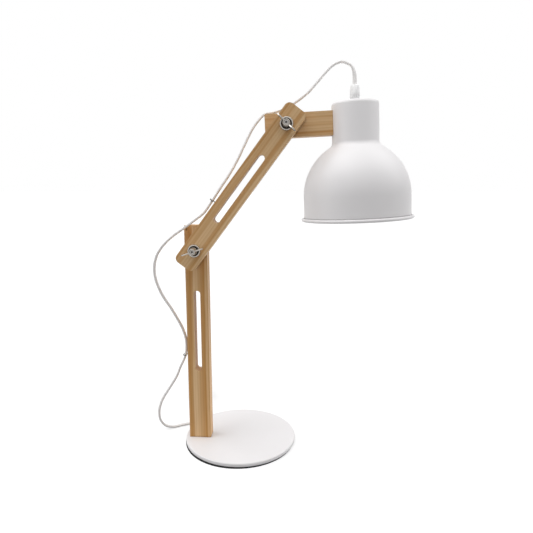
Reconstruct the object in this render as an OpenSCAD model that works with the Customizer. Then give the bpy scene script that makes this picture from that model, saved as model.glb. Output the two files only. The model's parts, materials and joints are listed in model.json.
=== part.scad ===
// Adjustable desk lamp: a steel base, three wooden slats on two bolt pivots and a bell shade.
// The origin is the middle of the base's underside, +Z is up, and the slats lie in planes square to Y.

/* [Base] */
// Diameter of the base plate
base_d = 150; // [135:1:190]
// Thickness of the base plate
base_plate_t = 5.2; // [4.5:0.1:9]
// Radius of the plate's top edge
base_edge_r = 1.6; // [0.5:0.1:2]
// Thickness of the pad under the plate
pad_t = 1.6; // [1:0.1:4]
// Step from the plate's edge in to the pad's edge
pad_inset = 0.8; // [0:0.1:5]
// Place of the pad's middle across the plate
pad_shift_x = -1.1; // [-3:0.1:3]
// Place of the pad's middle from front to back
pad_shift_y = -0.8; // [-3:0.1:3]

/* [Slats] */
// Width of each wooden slat
slat_w = 29; // [24:0.5:36]
// Thickness of each wooden slat
slat_t = 16; // [12:0.5:22]
// Radius of the post's and the head arm's corners
slat_corner_r = 1.5; // [0.5:0.1:3]
// Width of the long slots
slot_w = 8.7; // [5:0.1:12]

/* [Post] */
// Place of the post's middle across the base
post_x = -54.35; // [-58:0.05:-40]
// Place of the rear slats' middle from front to back
post_y = -4.8; // [-10:0.1:5]
// Height of the post's top above the table
post_top = 298; // [290:1:340]
// Lower end of the post's slot above the table
post_slot_low = 101.8; // [90:0.1:130]
// Upper end of the post's slot above the table
post_slot_high = 212.2; // [180:0.1:225]
// Height of the lower pivot above the table
pivot_z = 267; // [258:0.5:275]
// Step of the lower pivot to the right of the post's middle
pivot_step = 1.4; // [0:0.1:3]

/* [Swing arm] */
// Distance between the two pivots
arm_reach = 191.8; // [180:0.1:210]
// Rise of the swing arm above level at rest
arm_rise = 53.1; // [50:0.1:56]
// Radius of the swing arm's corners
arm_corner_r = 7; // [2:0.1:10]
// Wood of the swing arm beyond the lower pivot
arm_foot = 24.4; // [17:0.1:28]
// Wood of the swing arm beyond the upper pivot
arm_tip = 22.7; // [17:0.1:26]
// Start of the arm's slot from the lower pivot
arm_slot_start = 44.7; // [35:0.1:60]
// End of the arm's slot from the lower pivot
arm_slot_end = 145.6; // [120:0.1:155]

/* [Head] */
// Rise of the head arm above level at rest
head_rise = 2.6; // [0:0.1:6]
// Wood of the head arm behind the upper pivot
head_tail = 26.9; // [20:0.1:27.5]
// Wood of the head arm from the upper pivot to the neck
head_nose = 54.9; // [45:0.1:70]
// Height of the neck's top above the head arm's middle
neck_rise = 23.85; // [19:0.05:30]

/* [Shade] */
// Radius of the neck
neck_r = 28.7; // [26:0.1:32]
// Radius of the neck's top edge
neck_edge_r = 4.2; // [1:0.1:6]
// Radius of the hollow curve between neck and bell
neck_fillet_r = 7; // [2:0.1:9]
// Radius of the bell's curve
bell_curve_r = 70.5; // [66:0.1:76]
// Radius of the bell's straight wall
bell_r = 66.2; // [62:0.1:72]
// Depth from the neck's top to the end of the bell's curve
bell_curve_h = 113.5; // [108:0.5:124]
// Depth from the neck's top to the middle of the rolled rim
rim_h = 140.5; // [132:0.5:150]
// Radius of the rolled rim
rim_r = 2.1; // [1.5:0.1:3]
// How far the rolled rim laps over the wall
rim_lap = 0.6; // [0.3:0.1:0.8]
// Thickness of the shade's sheet
shade_t = 0.8; // [0.6:0.1:1.2]

/* [Pivot hardware] */
// Diameter of the pivot bolts
bolt_d = 6; // [5:0.1:7]
// Width across flats of the bolt heads
bolt_head_af = 10; // [9:0.1:13]
// Thickness of the bolt heads
bolt_head_t = 4; // [3:0.1:6]
// Diameter of all the washers
washer_d = 16; // [14:0.1:20]
// Thickness of the washers behind the slats
back_washer_t = 1.2; // [0.8:0.1:2]
// Thickness of the fibre washers between the slats
friction_t = 0.9; // [0.5:0.1:2]
// Thickness of the dished front washers at their rim
front_washer_t = 1.5; // [1.2:0.1:2.5]
// Width of the front washers' raised rim
front_washer_rim = 1.7; // [1:0.1:2.5]
// Depth of the front washers' dish
front_washer_dish = 0.5; // [0.2:0.05:0.8]
// Length of a wing nut's hub
nut_hub_l = 10.8; // [9:0.1:14]
// Diameter of a wing nut's hub at its washer
nut_hub_d = 10.6; // [10:0.1:13]
// Diameter of a wing nut's hub at its front
nut_tip_d = 8; // [7.6:0.1:10]
// Span of the two wings
wing_span = 29; // [26:0.5:34]
// Radius of a wing's rounded lobe
wing_lobe_r = 4.4; // [3.5:0.1:5]
// Thickness of a wing
wing_t = 1.6; // [1.2:0.1:3]
// Turn of the lower wing nut at rest
lower_nut_turn = 18.5; // [-90:0.5:90]
// Turn of the upper wing nut at rest
upper_nut_turn = -43.4; // [-90:0.5:90]
// Depth of the bolts' ends below the wing nuts' fronts
bolt_recess = 0.4; // [0.2:0.1:3]
// Diameter of the centre hole in a bolt's front end
bolt_dimple_d = 2.6; // [1.5:0.1:3.5]
// Depth of the centre hole in a bolt's front end
bolt_dimple_l = 2; // [1:0.1:4]

/* [Screws and hooks] */
// Diameter of the post screws
post_screw_d = 4; // [3:0.1:5]
// Diameter of the post screws' heads
post_screw_head_d = 8; // [7:0.1:9]
// Length of the post screws
post_screw_l = 38; // [25:0.5:50]
// Distance between the post screws
post_screw_pitch = 14; // [11:0.5:17]
// Diameter of the head screws
head_screw_d = 3.5; // [3:0.1:4]
// Diameter of the head screws' heads
head_screw_head_d = 7; // [6:0.1:8]
// Thickness of the head screws' heads
head_screw_head_t = 2.2; // [1.5:0.1:3]
// Length of the head screws in the wood
head_screw_l = 20; // [12:0.5:24]
// Distance between the head screws
head_screw_pitch = 15; // [10:0.5:18]
// Diameter of the hooks' wire
hook_wire_d = 1.2; // [1:0.1:1.6]
// Radius of a hook's ring at the middle of the wire
hook_r = 3.5; // [3.5:0.1:4.5]
// Length of a hook's shank in the wood
hook_shank_l = 9; // [5:0.5:12]
// Place of the arm's hook from the lower pivot
arm_hook_at = 63.8; // [55:0.1:75]
// Height of the post's hook above the table
post_hook_z = 122; // [110:0.5:135]

/* [Lampholder] */
// Height of the cord grip
grip_h = 19.3; // [16:0.1:28]
// Diameter of the cord grip at its foot
grip_foot_d = 12.2; // [11.5:0.1:16]
// Diameter of the cord grip at its top
grip_top_d = 11.2; // [10:0.1:14]
// Diameter of the grip's threaded stem
stem_d = 10; // [8:0.1:12]
// Length of the grip's threaded stem
stem_l = 10; // [8:0.1:14]
// Width across flats of the stem's locknut
locknut_af = 14; // [13:0.1:17]
// Thickness of the stem's locknut
locknut_t = 3; // [2:0.1:4]
// Diameter of the lampholder
holder_d = 40; // [36:0.5:43]
// Height of the lampholder's cap
holder_cap_h = 16; // [13:0.5:20]
// Height of the lampholder's skirt
holder_skirt_h = 36; // [32:0.5:42]
// Wall of the lampholder
holder_wall = 2.4; // [1.8:0.1:3]
// Thickness of the lampholder's insert
insert_t = 9; // [7:0.5:11]
// Inner diameter of the lamp thread
thread_d = 26.4; // [26:0.1:28]
// Length of the lamp thread
thread_l = 22; // [18:0.5:25]
// Thickness of the thread shell
thread_t = 0.8; // [0.5:0.1:1.2]

/* [Cord] */
// Width of the flat cord
cord_w = 5.2; // [4.8:0.1:5.4]
// Thickness of the flat cord
cord_t = 3.2; // [2.8:0.1:3.4]
// Turns of cord in the hank
hank_loops = 4; // [2:2:4]
// Length of the hank's runs
hank_run = 81; // [78:1:100]
// Radius of the hank's folds
hank_fold_r = 16; // [16:0.5:18]
// How far the tie draws each run in
hank_draw = 7; // [4:0.5:8]
// Clear height between the hank's layers
hank_layer_gap = 0.6; // [0.5:0.1:1.5]
// Width of the tie
tie_w = 8; // [5:0.5:12]
// Thickness of the tie
tie_t = 0.8; // [0.5:0.1:1.2]

/* [Switch] */
// Length of the inline switch
switch_l = 50; // [48:1:60]
// Width of the inline switch
switch_w = 22; // [20:0.5:24]
// Height of the switch's lower shell
switch_base_h = 7; // [6.5:0.1:8]
// Height of the switch's upper shell
switch_cover_h = 7; // [6.5:0.1:9]
// Wall of the switch's shells
switch_wall = 1.6; // [1.2:0.1:2]
// Corner radius of the switch's shells
switch_corner_r = 7; // [4:0.5:9]
// Length of the rocker
rocker_l = 17; // [14:0.5:19]
// Width of the rocker
rocker_w = 8; // [6:0.5:9]
// Tilt of the rocker to each side
rocker_tilt = 7; // [4:0.5:8]
// Diameter of the switch's screws
switch_screw_d = 2.5; // [2:0.1:3]

/* [Plug] */
// Width of the plug's body
plug_w = 35.3; // [33:0.1:36]
// Thickness of the plug's body
plug_t = 13.7; // [13:0.1:15]
// Length of the plug's body
plug_l = 36; // [32:0.5:40]
// Width of the plug's body at the cord
plug_shoulder_w = 17; // [14:0.5:20]
// Length of the plug's tapered strain relief
relief_l = 23; // [20:0.5:26]
// Diameter of the strain relief at the cord
relief_d = 7; // [6.5:0.1:8]
// Diameter of the strain relief at the plug
relief_root_d = 11.7; // [9:0.1:12.5]
// Cut of the plug's front corners
plug_chamfer = 2; // [0.5:0.1:4]
// Diameter of the plug's pins
pin_d = 4; // [3.8:0.1:4.2]
// Length of the pins inside the plug
pin_in = 12; // [8:0.5:20]
// Length of the plug's pins
pin_l = 19; // [18:0.1:20]
// Distance between the plug's pins
pin_pitch = 18.6; // [18:0.1:19]

/* [Hidden] */
$fn = 64;
// Radial clearance of turning pieces on the bolts
run_gap = 0.1;
// Clear space between turning flat faces
face_gap = 0.1;
// Clearance of fixed screws, studs and inserts in their holes
fit_gap = 0.05;
// Clear space round the soft cord
soft_gap = 0.3;
// Overrun of cutting shapes
over = 1;

// Heights of the base
base_top = pad_t + base_plate_t;

// Layers from front to back
rear_front_y = post_y - slat_t / 2;
rear_back_y = post_y + slat_t / 2;
arm_back_y = rear_front_y - friction_t - face_gap;
arm_front_y = arm_back_y - slat_t;
arm_y = arm_back_y - slat_t / 2;
nut_y = arm_front_y - front_washer_t - face_gap;
nut_front_y = nut_y - nut_hub_l;
bolt_end_y = nut_front_y + bolt_recess;
bolt_seat_y = rear_back_y + back_washer_t;

// Pivots
lower_pivot = [post_x + pivot_step, 0, pivot_z];
upper_pivot = lower_pivot + arm_reach * [cos(arm_rise), 0, sin(arm_rise)];
bore_r = bolt_d / 2 + run_gap;

// Shade in the head's own frame, with depths measured down from the neck's top
neck_x = head_nose + neck_r;
neck_in_r = neck_r - shade_t;
bell_axis_r = bell_r - bell_curve_r;
fillet_r_at = neck_r + neck_fillet_r;
fillet_h = bell_curve_h - sqrt(pow(bell_curve_r + neck_fillet_r, 2) - pow(fillet_r_at - bell_axis_r, 2));
fillet_turn = acos((fillet_r_at - bell_axis_r) / (bell_curve_r + neck_fillet_r));
rim_at_r = bell_r + rim_r - rim_lap;

// Lampholder depths below the neck's top
locknut_h = shade_t;
cap_h = locknut_h + locknut_t + face_gap;
cap_wall_top = 5;
skirt_h = cap_h + holder_cap_h;
skirt_in_r = holder_d / 2 - holder_wall;
insert_in = 2;
insert_h = skirt_h + insert_in;
insert_r = skirt_in_r - fit_gap;
thread_h = insert_h + insert_t;
contact_d = 10;
contact_t = 1.5;
terminal_screw_d = 4;
terminal_screw_l = 6;
grub_d = 3;
grub_l = 2.6;

// Switch's rocker on its pin, the lugs that carry the pin, and the contact strips
rocker_drop = 2.5;
rocker_z = switch_base_h + switch_cover_h - rocker_drop;
rocker_pin_d = 2.4;
rocker_gap = 0.4;
rocker_rise = 3;
rocker_dip = 1;
rocker_taper = 0.5;
lug_t = 1.6;
strip_w = 3;
strip_t = 1;
strip_pitch = 9;

// Wing's foot above its washer
wing_foot = 1;

// Hook ring's middle from the wood
hook_out = hook_r + hook_wire_d / 2 + soft_gap;
hook_opening = 70;

// Cord on the table behind the post: the switch, the hank and the plug lie along one line
line_start = [-70, 62, 0];
line_turn = 12;
line_way = [-sin(line_turn), cos(line_turn), 0];
cord_entry_z = 4.5;
hank_step = cord_w + hank_layer_gap;
hank_low = tie_t + soft_gap + cord_w / 2;
hank_lead = hank_fold_r + cord_w;
hank_at = switch_l + hank_lead;
hank_top = hank_low + (hank_loops - 1) * hank_step + cord_w / 2;
plug_z = hank_top + soft_gap + plug_t / 2;
exit_run = 36;
relief_b = hank_run - exit_run - cord_w;
run_rings = 4;
fold_rings = 8;
lead_rings = 4;
loop_rings = 2 * (run_rings + fold_rings);

// Ends of the cord's stretches
grip_top = head_point([neck_x, post_y, neck_rise + grip_h]);
grip_way = [-sin(head_rise), 0, cos(head_rise)];
cord_rise = 12;
arm_hook_ring = arm_point([arm_hook_at, arm_y, slat_w / 2 + hook_out]);
arm_hook_way = [-cos(arm_rise), 0, -sin(arm_rise)];
post_hook_ring = [post_x - slat_w / 2 - hook_out, post_y, post_hook_z];
post_hook_way = unit([-0.2, 0, -1]);
line_end = line_start + [0, 0, cord_entry_z];

// Routes of the cord's three free stretches
upper_route = [
    grip_top, grip_top + cord_rise * grip_way, [140.3, -4.8, 488.6], [133, -4.8, 493.3], [126, -4.8, 494.5],
    [116.9, -4.8, 490.5], [108.3, -4.8, 482.5], [97.8, -4.8, 470.5], [86.8, -4, 459], [72.8, -2, 449],
    [61.8, 0, 443], [52.8, 1, 439.5], [43.8, 1, 437.2], [37.3, 1, 436.4], [32.8, -0.5, 434.4],
    [26.8, -3, 427.8], [18.8, -7, 416], [9.8, -12, 397], [1.8, -15, 380], [-8.2, -18.5, 362],
    [-18.9, -21, 346], arm_hook_ring
];
middle_route = [
    arm_hook_ring, [-40.7, -21.8, 314.5], [-52.2, -22, 305.5], [-65.2, -21.5, 296], [-78.7, -20, 287],
    [-90.2, -18, 277.7], [-100.2, -15, 267], [-107.3, -12, 255], [-110.9, -9, 240], [-110, -7.5, 226],
    [-105.6, -6.5, 212], [-99.7, -6, 200], [-91.7, -5, 187], [-83.7, -5, 173], [-76.7, -5, 159],
    [-72.7, -5, 146], [-72, -4.8, 134], post_hook_ring
];
lower_route = [
    post_hook_ring, [-76.8, -4.8, 113.5], [-81.3, -4, 104.5], [-88.1, 0, 89], [-99.4, 5, 70.7],
    [-110, 10, 54], [-116, 11, 41], [-118.6, 12, 28], [-117.2, 14, 15.5], [-110.9, 17.5, 6],
    [-100.6, 22.5, 2.2], [-90.8, 28.5, 1.9], [-80, 34.5, 1.9], [-72.5, 41, 1.9], [-69.2, 49, 3],
    line_end - cord_w * line_way, line_end
];

// Hank's centre line: from the switch, round its loops and up to the plug
hank_first = hank_point(0, 1);
hank_last = hank_point(hank_loops - 1, run_rings + fold_rings);
hank_line = concat(
    [[0, -hank_lead, cord_entry_z, 1]],
    [
        for (i = [0:lead_rings - 1])
            let (s = i / lead_rings, from = cord_w - hank_lead)
            [
                hank_first[0] * ease(s), from + (hank_first[1] - from) * s,
                cord_entry_z + (hank_first[2] - cord_entry_z) * ease(s), 1 - ease(s)
            ]
    ],
    [
        for (loop = [0:hank_loops - 1])
            for (i = [0:loop_rings - 1])
                if ((loop > 0 || i > 0) && (loop < hank_loops - 1 || i < run_rings + fold_rings))
                    hank_point(loop, i)
    ],
    [
        for (i = [0:lead_rings])
            let (s = i / lead_rings)
            [
                hank_last[0] * (1 - ease(s)), hank_last[1] - exit_run * s,
                hank_last[2] + (plug_z - hank_last[2]) * ease(s), ease(s)
            ]
    ],
    [[0, relief_b, plug_z, 1]]
);
hank_route = [for (p = hank_line) [p[0], p[1], p[2]]];
hank_rings = [
    for (i = [0:len(hank_route) - 1])
        let (flat = hank_line[i][3], way = way_at(hank_route, i, [0, 1, 0], [0, -1, 0]))
        ring(hank_route[i], way, flat * [1, 0, 0] + (1 - flat) * [0, 0, 1], hank_section())
];

// Least gap of the hank to itself, between points at least half a loop apart
hank_gap = min([
    for (i = [0:len(hank_rings) - 1])
        for (j = [i + loop_rings / 2:1:len(hank_rings) - 1])
            if (norm(hank_route[i] - hank_route[j]) < 3 * cord_w)
                min([for (p = hank_rings[i]) for (q = hank_rings[j]) norm(p - q)])
]);
echo(hank_least_gap_mm = hank_gap);
echo(cord_lengths_mm = [for (r = [upper_route, middle_route, lower_route, hank_route]) route_length(r)]);

// Point of the swing arm, given along it, from front to back and across it
function arm_point(p) = [
    lower_pivot.x + p.x * cos(arm_rise) - p.z * sin(arm_rise),
    p.y,
    lower_pivot.z + p.x * sin(arm_rise) + p.z * cos(arm_rise)
];

// Point of the head, given along its arm, from front to back and up
function head_point(p) = [
    upper_pivot.x + p.x * cos(head_rise) - p.z * sin(head_rise),
    p.y,
    upper_pivot.z + p.x * sin(head_rise) + p.z * cos(head_rise)
];

// Points of an arc about a centre, from one angle to another
function arc(centre, r, from, to, steps) = [
    for (i = [0:steps])
        let (turn = from + (to - from) * i / steps)
        centre + r * [cos(turn), sin(turn)]
];

function unit(v) = v / norm(v);

// Share from 0 to 1 that starts and ends level
function ease(s) = (1 - cos(180 * s)) / 2;

// Flat cord's cross-section with rounded edges, eight sides
function cord_section() = let (x = cord_w / 2, y = cord_t / 2, edge = cord_t / 3) [
    [x, -y + edge], [x, y - edge], [x - edge, y], [edge - x, y],
    [-x, y - edge], [-x, edge - y], [edge - x, -y], [x - edge, -y]
];

// Six-sided cross-section of the wound cord
function hank_section() = let (x = cord_w / 2, y = cord_t / 2) [
    [x, 0], [x - y, y], [y - x, y], [-x, 0], [y - x, -y], [x - y, -y]
];

// Ring of points about a centre, square to a way, with its width along a given side
function ring(centre, way, side, section) = let (u = unit(side - (side * way) * way), v = cross(way, u)) [
    for (s = section) centre + s.x * u + s.y * v
];

// Way of a route at one of its points
function way_at(route, i, first, last) =
    i == 0 ? first : i == len(route) - 1 ? last : unit(route[i + 1] - route[i - 1]);

// Rings of a free stretch, whose width turns from one side to another over its first points
function stretch_rings(route, first, last, side_a, side_b, turn_points) = [
    for (i = [0:len(route) - 1])
        let (share = min(1, i / turn_points))
        ring(route[i], way_at(route, i, first, last), (1 - share) * side_a + share * side_b, cord_section())
];

// Half width of the hank at a share of its run
function hank_half(share) = hank_fold_r - hank_draw * (1 - cos(360 * share)) / 2;

// Hank's point: across, along, up and how flat the cord lies, for one of a loop's rings
function hank_point(loop, i) =
    i < run_rings ?
        let (s = i / run_rings) [-hank_half(s), hank_run * s, hank_low + loop * hank_step, 0]
    : i < run_rings + fold_rings ?
        let (a = 180 * (i - run_rings) / fold_rings)
        [-hank_fold_r * cos(a), hank_run + hank_fold_r * sin(a), hank_low + loop * hank_step, 0]
    : i < 2 * run_rings + fold_rings ?
        let (s = (i - run_rings - fold_rings) / run_rings)
        [hank_half(s), hank_run * (1 - s), hank_low + (loop + ease(s)) * hank_step, 0]
    :
        let (a = 180 * (i - 2 * run_rings - fold_rings) / fold_rings)
        [hank_fold_r * cos(a), -hank_fold_r * sin(a), hank_low + (loop + 1) * hank_step, 0];

// Length of a route from point to point
function route_length(route, i = 1) =
    i >= len(route) ? 0 : norm(route[i] - route[i - 1]) + route_length(route, i + 1);

// Closed tube of triangles through rings of points
module tube(rings) {
    n = len(rings[0]);
    last = (len(rings) - 1) * n;
    sides = [
        for (i = [0:len(rings) - 2])
            for (j = [0:n - 1])
                let (a = i * n + j, b = i * n + (j + 1) % n)
                each [[a, a + n, b + n], [a, b + n, b]]
    ];
    caps = [for (j = [1:n - 2]) each [[0, j, j + 1], [last, last + j + 1, last + j]]];
    polyhedron(points = [for (r = rings) each r], faces = concat(sides, caps), convexity = 10);
}

// Rod along Y between two places
module rod_y(d, from, to) {
    translate([0, to, 0]) rotate([90, 0, 0]) cylinder(h = to - from, d = d);
}

// Flat outline in X and Z, as thick as from one Y to another
module plate_y(from, to) {
    translate([0, to, 0]) rotate([90, 0, 0]) linear_extrude(to - from) children();
}

// Rectangle with round corners
module round_rect(low, high, r) {
    translate([low.x + r, low.y]) square([high.x - low.x - 2 * r, high.y - low.y]);
    translate([low.x, low.y + r]) square([high.x - low.x, high.y - low.y - 2 * r]);
    for (x = [low.x + r, high.x - r])
        for (y = [low.y + r, high.y - r])
            translate([x, y]) circle(r);
}

// Long slot with round ends along X
module slot_shape(from, to, w) {
    translate([from + w / 2, -w / 2]) square([to - from - w, w]);
    translate([from + w / 2, 0]) circle(d = w);
    translate([to - w / 2, 0]) circle(d = w);
}

module lower_frame() {
    translate(lower_pivot) children();
}

module arm_frame() {
    translate(lower_pivot) rotate([0, -arm_rise, 0]) children();
}

module head_frame() {
    translate(upper_pivot) rotate([0, -head_rise, 0]) children();
}

// Frame on the neck's axis with Z down from the neck's top
module neck_frame() {
    head_frame() translate([neck_x, post_y, neck_rise]) rotate([180, 0, 0]) children();
}

// Frame along the line of the switch, hank and plug, with Y along it
module line_frame(at) {
    translate(line_start + at * line_way) rotate([0, 0, line_turn]) children();
}

module base_plate() {
    color("white") difference() {
        translate([0, 0, pad_t]) rotate_extrude() {
            square([base_d / 2 - base_edge_r, base_plate_t]);
            square([base_d / 2, base_plate_t - base_edge_r]);
            translate([base_d / 2 - base_edge_r, base_plate_t - base_edge_r]) intersection() {
                circle(base_edge_r);
                square(base_edge_r);
            }
        }
        post_screw_places() {
            translate([0, 0, -over]) cylinder(h = base_plate_t + 2 * over, d = post_screw_d + 2 * run_gap);
            post_screw_head(fit_gap);
        }
    }
}

module base_pad() {
    color("dimgray") translate([pad_shift_x, pad_shift_y, 0]) cylinder(h = pad_t, d = base_d - 2 * pad_inset);
}

module post_screw_places() {
    for (side = [-1, 1])
        translate([post_x + side * post_screw_pitch / 2, post_y, pad_t]) children();
}

// Countersunk head, flush with the plate's underside
module post_screw_head(gap) {
    head_h = (post_screw_head_d - post_screw_d) / 2;
    cylinder(h = head_h, d1 = post_screw_head_d + 2 * gap, d2 = post_screw_d + 2 * gap);
}

module post_screws() {
    color("silver") post_screw_places() {
        post_screw_head(0);
        cylinder(h = post_screw_l, d = post_screw_d);
    }
}

module post() {
    color("burlywood") difference() {
        plate_y(rear_front_y, rear_back_y) difference() {
            union() {
                translate([post_x, post_top - slat_w])
                    round_rect([-slat_w / 2, 0], [slat_w / 2, slat_w], slat_corner_r);
                translate([post_x - slat_w / 2, base_top]) square([slat_w, post_top - slat_w / 2 - base_top]);
            }
            translate([post_x, 0]) rotate(90) slot_shape(post_slot_low, post_slot_high, slot_w);
        }
        lower_frame() rod_y(bolt_d + 2 * fit_gap, rear_front_y - over, rear_back_y + over);
        post_screw_places() cylinder(h = post_screw_l + over, d = post_screw_d + 2 * fit_gap);
        translate([post_hook_ring.x, post_hook_ring.y, post_hook_z]) rotate([0, 90, 0]) hook_hole();
    }
}

// Hexagon-headed bolt that passes forwards through two slats, with a centre hole in its front end
module pivot_bolt() {
    difference() {
        rod_y(bolt_d, bolt_end_y, bolt_seat_y + bolt_head_t / 2);
        rod_y(bolt_dimple_d, bolt_end_y - over, bolt_end_y + bolt_dimple_l);
    }
    plate_y(bolt_seat_y, bolt_seat_y + bolt_head_t) circle(d = bolt_head_af / cos(30), $fn = 6);
}

module flat_washer(from, to, hole) {
    difference() {
        rod_y(washer_d, from, to);
        rod_y(hole, from - over, to + over);
    }
}

// Front washer with a raised rim round a shallow dish
module dished_washer() {
    difference() {
        rod_y(washer_d, arm_front_y - front_washer_t, arm_front_y);
        rod_y(washer_d - 2 * front_washer_rim, arm_front_y - front_washer_t - over,
            arm_front_y - front_washer_t + front_washer_dish);
        rod_y(bolt_d + 4 * run_gap, arm_front_y - front_washer_t - over, arm_front_y + over);
    }
}

// Wing nut: a tapered hub with two rounded wings that lean forwards
module wing_nut() {
    difference() {
        union() {
            translate([0, nut_y, 0]) rotate([90, 0, 0])
                cylinder(h = nut_hub_l, d1 = nut_hub_d, d2 = nut_tip_d);
            for (side = [0, 180])
                rotate([0, side, 0]) translate([0, nut_y, 0]) wing();
        }
        rod_y(bolt_d + 2 * run_gap, nut_front_y - over, nut_y + over);
        rod_y(washer_d, nut_y, nut_y + 2 * over);
    }
}

// One wing, drawn outwards along X and forwards along -Y; its edges meet the lobe on two ways from its middle
module wing() {
    lobe = [wing_span / 2 - wing_lobe_r, wing_lobe_r / 2 - nut_hub_l];
    root_r = bolt_d / 2 + run_gap;
    outer_way = [0.8, 0.6];
    inner_way = [-0.6, -0.8];
    translate([0, 0, -wing_t / 2]) linear_extrude(wing_t) {
        translate(lobe) circle(wing_lobe_r);
        polygon([
            [root_r, -wing_foot], [nut_hub_d / 2, -wing_foot], lobe + wing_lobe_r * outer_way,
            lobe + wing_lobe_r * inner_way, [root_r, wing_foot - nut_hub_l]
        ]);
    }
}

module lower_bolt() {
    color("silver") lower_frame() pivot_bolt();
}

module lower_back_washer() {
    color("silver") lower_frame() flat_washer(rear_back_y, bolt_seat_y, bolt_d + 2 * fit_gap);
}

module lower_friction_washer() {
    color("saddlebrown") lower_frame()
        flat_washer(rear_front_y - friction_t, rear_front_y, bolt_d + 2 * fit_gap);
}

module lower_front_washer() {
    color("gainsboro") lower_frame() dished_washer();
}

module lower_wing_nut() {
    color("gainsboro") lower_frame() rotate([0, -lower_nut_turn, 0]) wing_nut();
}

module swing_arm() {
    color("burlywood") difference() {
        arm_frame() plate_y(arm_front_y, arm_back_y) difference() {
            round_rect([-arm_foot, -slat_w / 2], [arm_reach + arm_tip, slat_w / 2], arm_corner_r);
            slot_shape(arm_slot_start, arm_slot_end, slot_w);
        }
        for (x = [0, arm_reach])
            arm_frame() translate([x, 0, 0]) rod_y(2 * bore_r, arm_front_y - over, arm_back_y + over);
        arm_frame() translate([arm_hook_at, arm_y, slat_w / 2 + hook_out]) rotate([0, 180, 0]) hook_hole();
    }
}

module upper_bolt() {
    color("silver") head_frame() pivot_bolt();
}

module upper_back_washer() {
    color("silver") head_frame() flat_washer(rear_back_y, bolt_seat_y, bolt_d + 2 * fit_gap);
}

module upper_friction_washer() {
    color("saddlebrown") head_frame()
        flat_washer(rear_front_y - friction_t, rear_front_y, bolt_d + 2 * fit_gap);
}

module upper_front_washer() {
    color("gainsboro") translate(upper_pivot) dished_washer();
}

module upper_wing_nut() {
    color("gainsboro") translate(upper_pivot) rotate([0, -upper_nut_turn, 0]) wing_nut();
}

module head_arm() {
    color("burlywood") head_frame() difference() {
        plate_y(rear_front_y, rear_back_y) {
            round_rect([-head_tail, -slat_w / 2], [head_nose, slat_w / 2], slat_corner_r);
            translate([0, -slat_w / 2]) square([neck_x - neck_r / 2, slat_w]);
        }
        translate([neck_x, post_y, -slat_w]) cylinder(h = 2 * slat_w, r = neck_r + fit_gap);
        rod_y(bolt_d + 2 * fit_gap, rear_front_y - over, rear_back_y + over);
        head_screw_places() translate([0, 0, -over])
            cylinder(h = head_screw_l + 2 * over, d = head_screw_d + 2 * fit_gap);
    }
}

// Places of the head screws on the neck's wall, with Z into the wood
module head_screw_places() {
    for (side = [-1, 1])
        translate([neck_x - neck_r, post_y, side * head_screw_pitch / 2]) rotate([0, -90, 0]) children();
}

module head_screws() {
    seat = neck_r - sqrt(pow(neck_in_r, 2) - pow(head_screw_head_d / 2, 2)) + fit_gap;
    color("silver") head_frame() head_screw_places() {
        translate([0, 0, -seat]) cylinder(h = head_screw_l + seat, d = head_screw_d);
        translate([0, 0, -seat - head_screw_head_t]) cylinder(h = head_screw_head_t, d = head_screw_head_d);
    }
}

// Half of the shade's section: the outer line at 0 inset, the inner line at the sheet's thickness
function shade_line(inset) = concat(
    arc([neck_r - neck_edge_r, -neck_edge_r], neck_edge_r - inset, 90, 0, 6),
    arc([fillet_r_at, -fillet_h], neck_fillet_r + inset, 180, 180 + fillet_turn, 6),
    arc([bell_axis_r, -bell_curve_h], bell_curve_r - inset, fillet_turn, 0, 18),
    [[bell_r - inset, -rim_h]]
);

module shade() {
    outer = shade_line(0);
    inner = shade_line(shade_t);
    hole_r = stem_d / 2 + fit_gap;
    color("white") difference() {
        neck_frame() mirror([0, 0, 1]) union() {
            rotate_extrude($fn = 96) polygon(concat(
                [[hole_r, 0]], outer, [for (i = [len(inner) - 1:-1:0]) inner[i]], [[hole_r, -shade_t]]
            ));
            rotate_extrude($fn = 96) translate([rim_at_r, -rim_h]) circle(rim_r, $fn = 32);
        }
        head_frame() head_screw_places()
            translate([0, 0, -neck_r / 2]) cylinder(h = neck_r, d = head_screw_d + 2 * run_gap);
    }
}

module cord_grip() {
    color("whitesmoke") neck_frame() difference() {
        union() {
            translate([0, 0, -grip_h]) cylinder(h = grip_h, d1 = grip_top_d, d2 = grip_foot_d);
            cylinder(h = stem_l, d = stem_d);
        }
        translate([0, 0, -grip_h / 2]) cylinder(h = grip_h / 2 + stem_l + over, d = cord_w + 2 * soft_gap);
        grub_place() translate([0, 0, -over]) cylinder(h = grub_l + over, d = grub_d + 2 * fit_gap);
    }
}

// Place of the grip's screw on its back, with Z inwards
module grub_place() {
    translate([0, -grip_foot_d / 2 + grub_l / 4, -grip_h / 3]) rotate([-90, 0, 0]) children();
}

module grip_screw() {
    color("silver") neck_frame() grub_place() cylinder(h = grub_l, d = grub_d);
}

module holder_locknut() {
    color("silver") neck_frame() translate([0, 0, locknut_h]) difference() {
        cylinder(h = locknut_t, d = locknut_af / cos(30), $fn = 6);
        translate([0, 0, -over]) cylinder(h = locknut_t + 2 * over, d = stem_d + 2 * fit_gap);
    }
}

module holder_cap() {
    inner_r = holder_d / 2 - holder_wall;
    crown_r = stem_d / 2 + holder_wall + fit_gap;
    slope_h = holder_cap_h / 2;
    color("whitesmoke") neck_frame() translate([0, 0, cap_h]) rotate_extrude() polygon([
        [stem_d / 2 + fit_gap, 0], [crown_r, 0], [holder_d / 2, slope_h], [holder_d / 2, holder_cap_h],
        [inner_r, holder_cap_h], [inner_r, slope_h + holder_wall / 2], [crown_r, cap_wall_top],
        [stem_d / 2 + fit_gap, cap_wall_top]
    ]);
}

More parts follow.
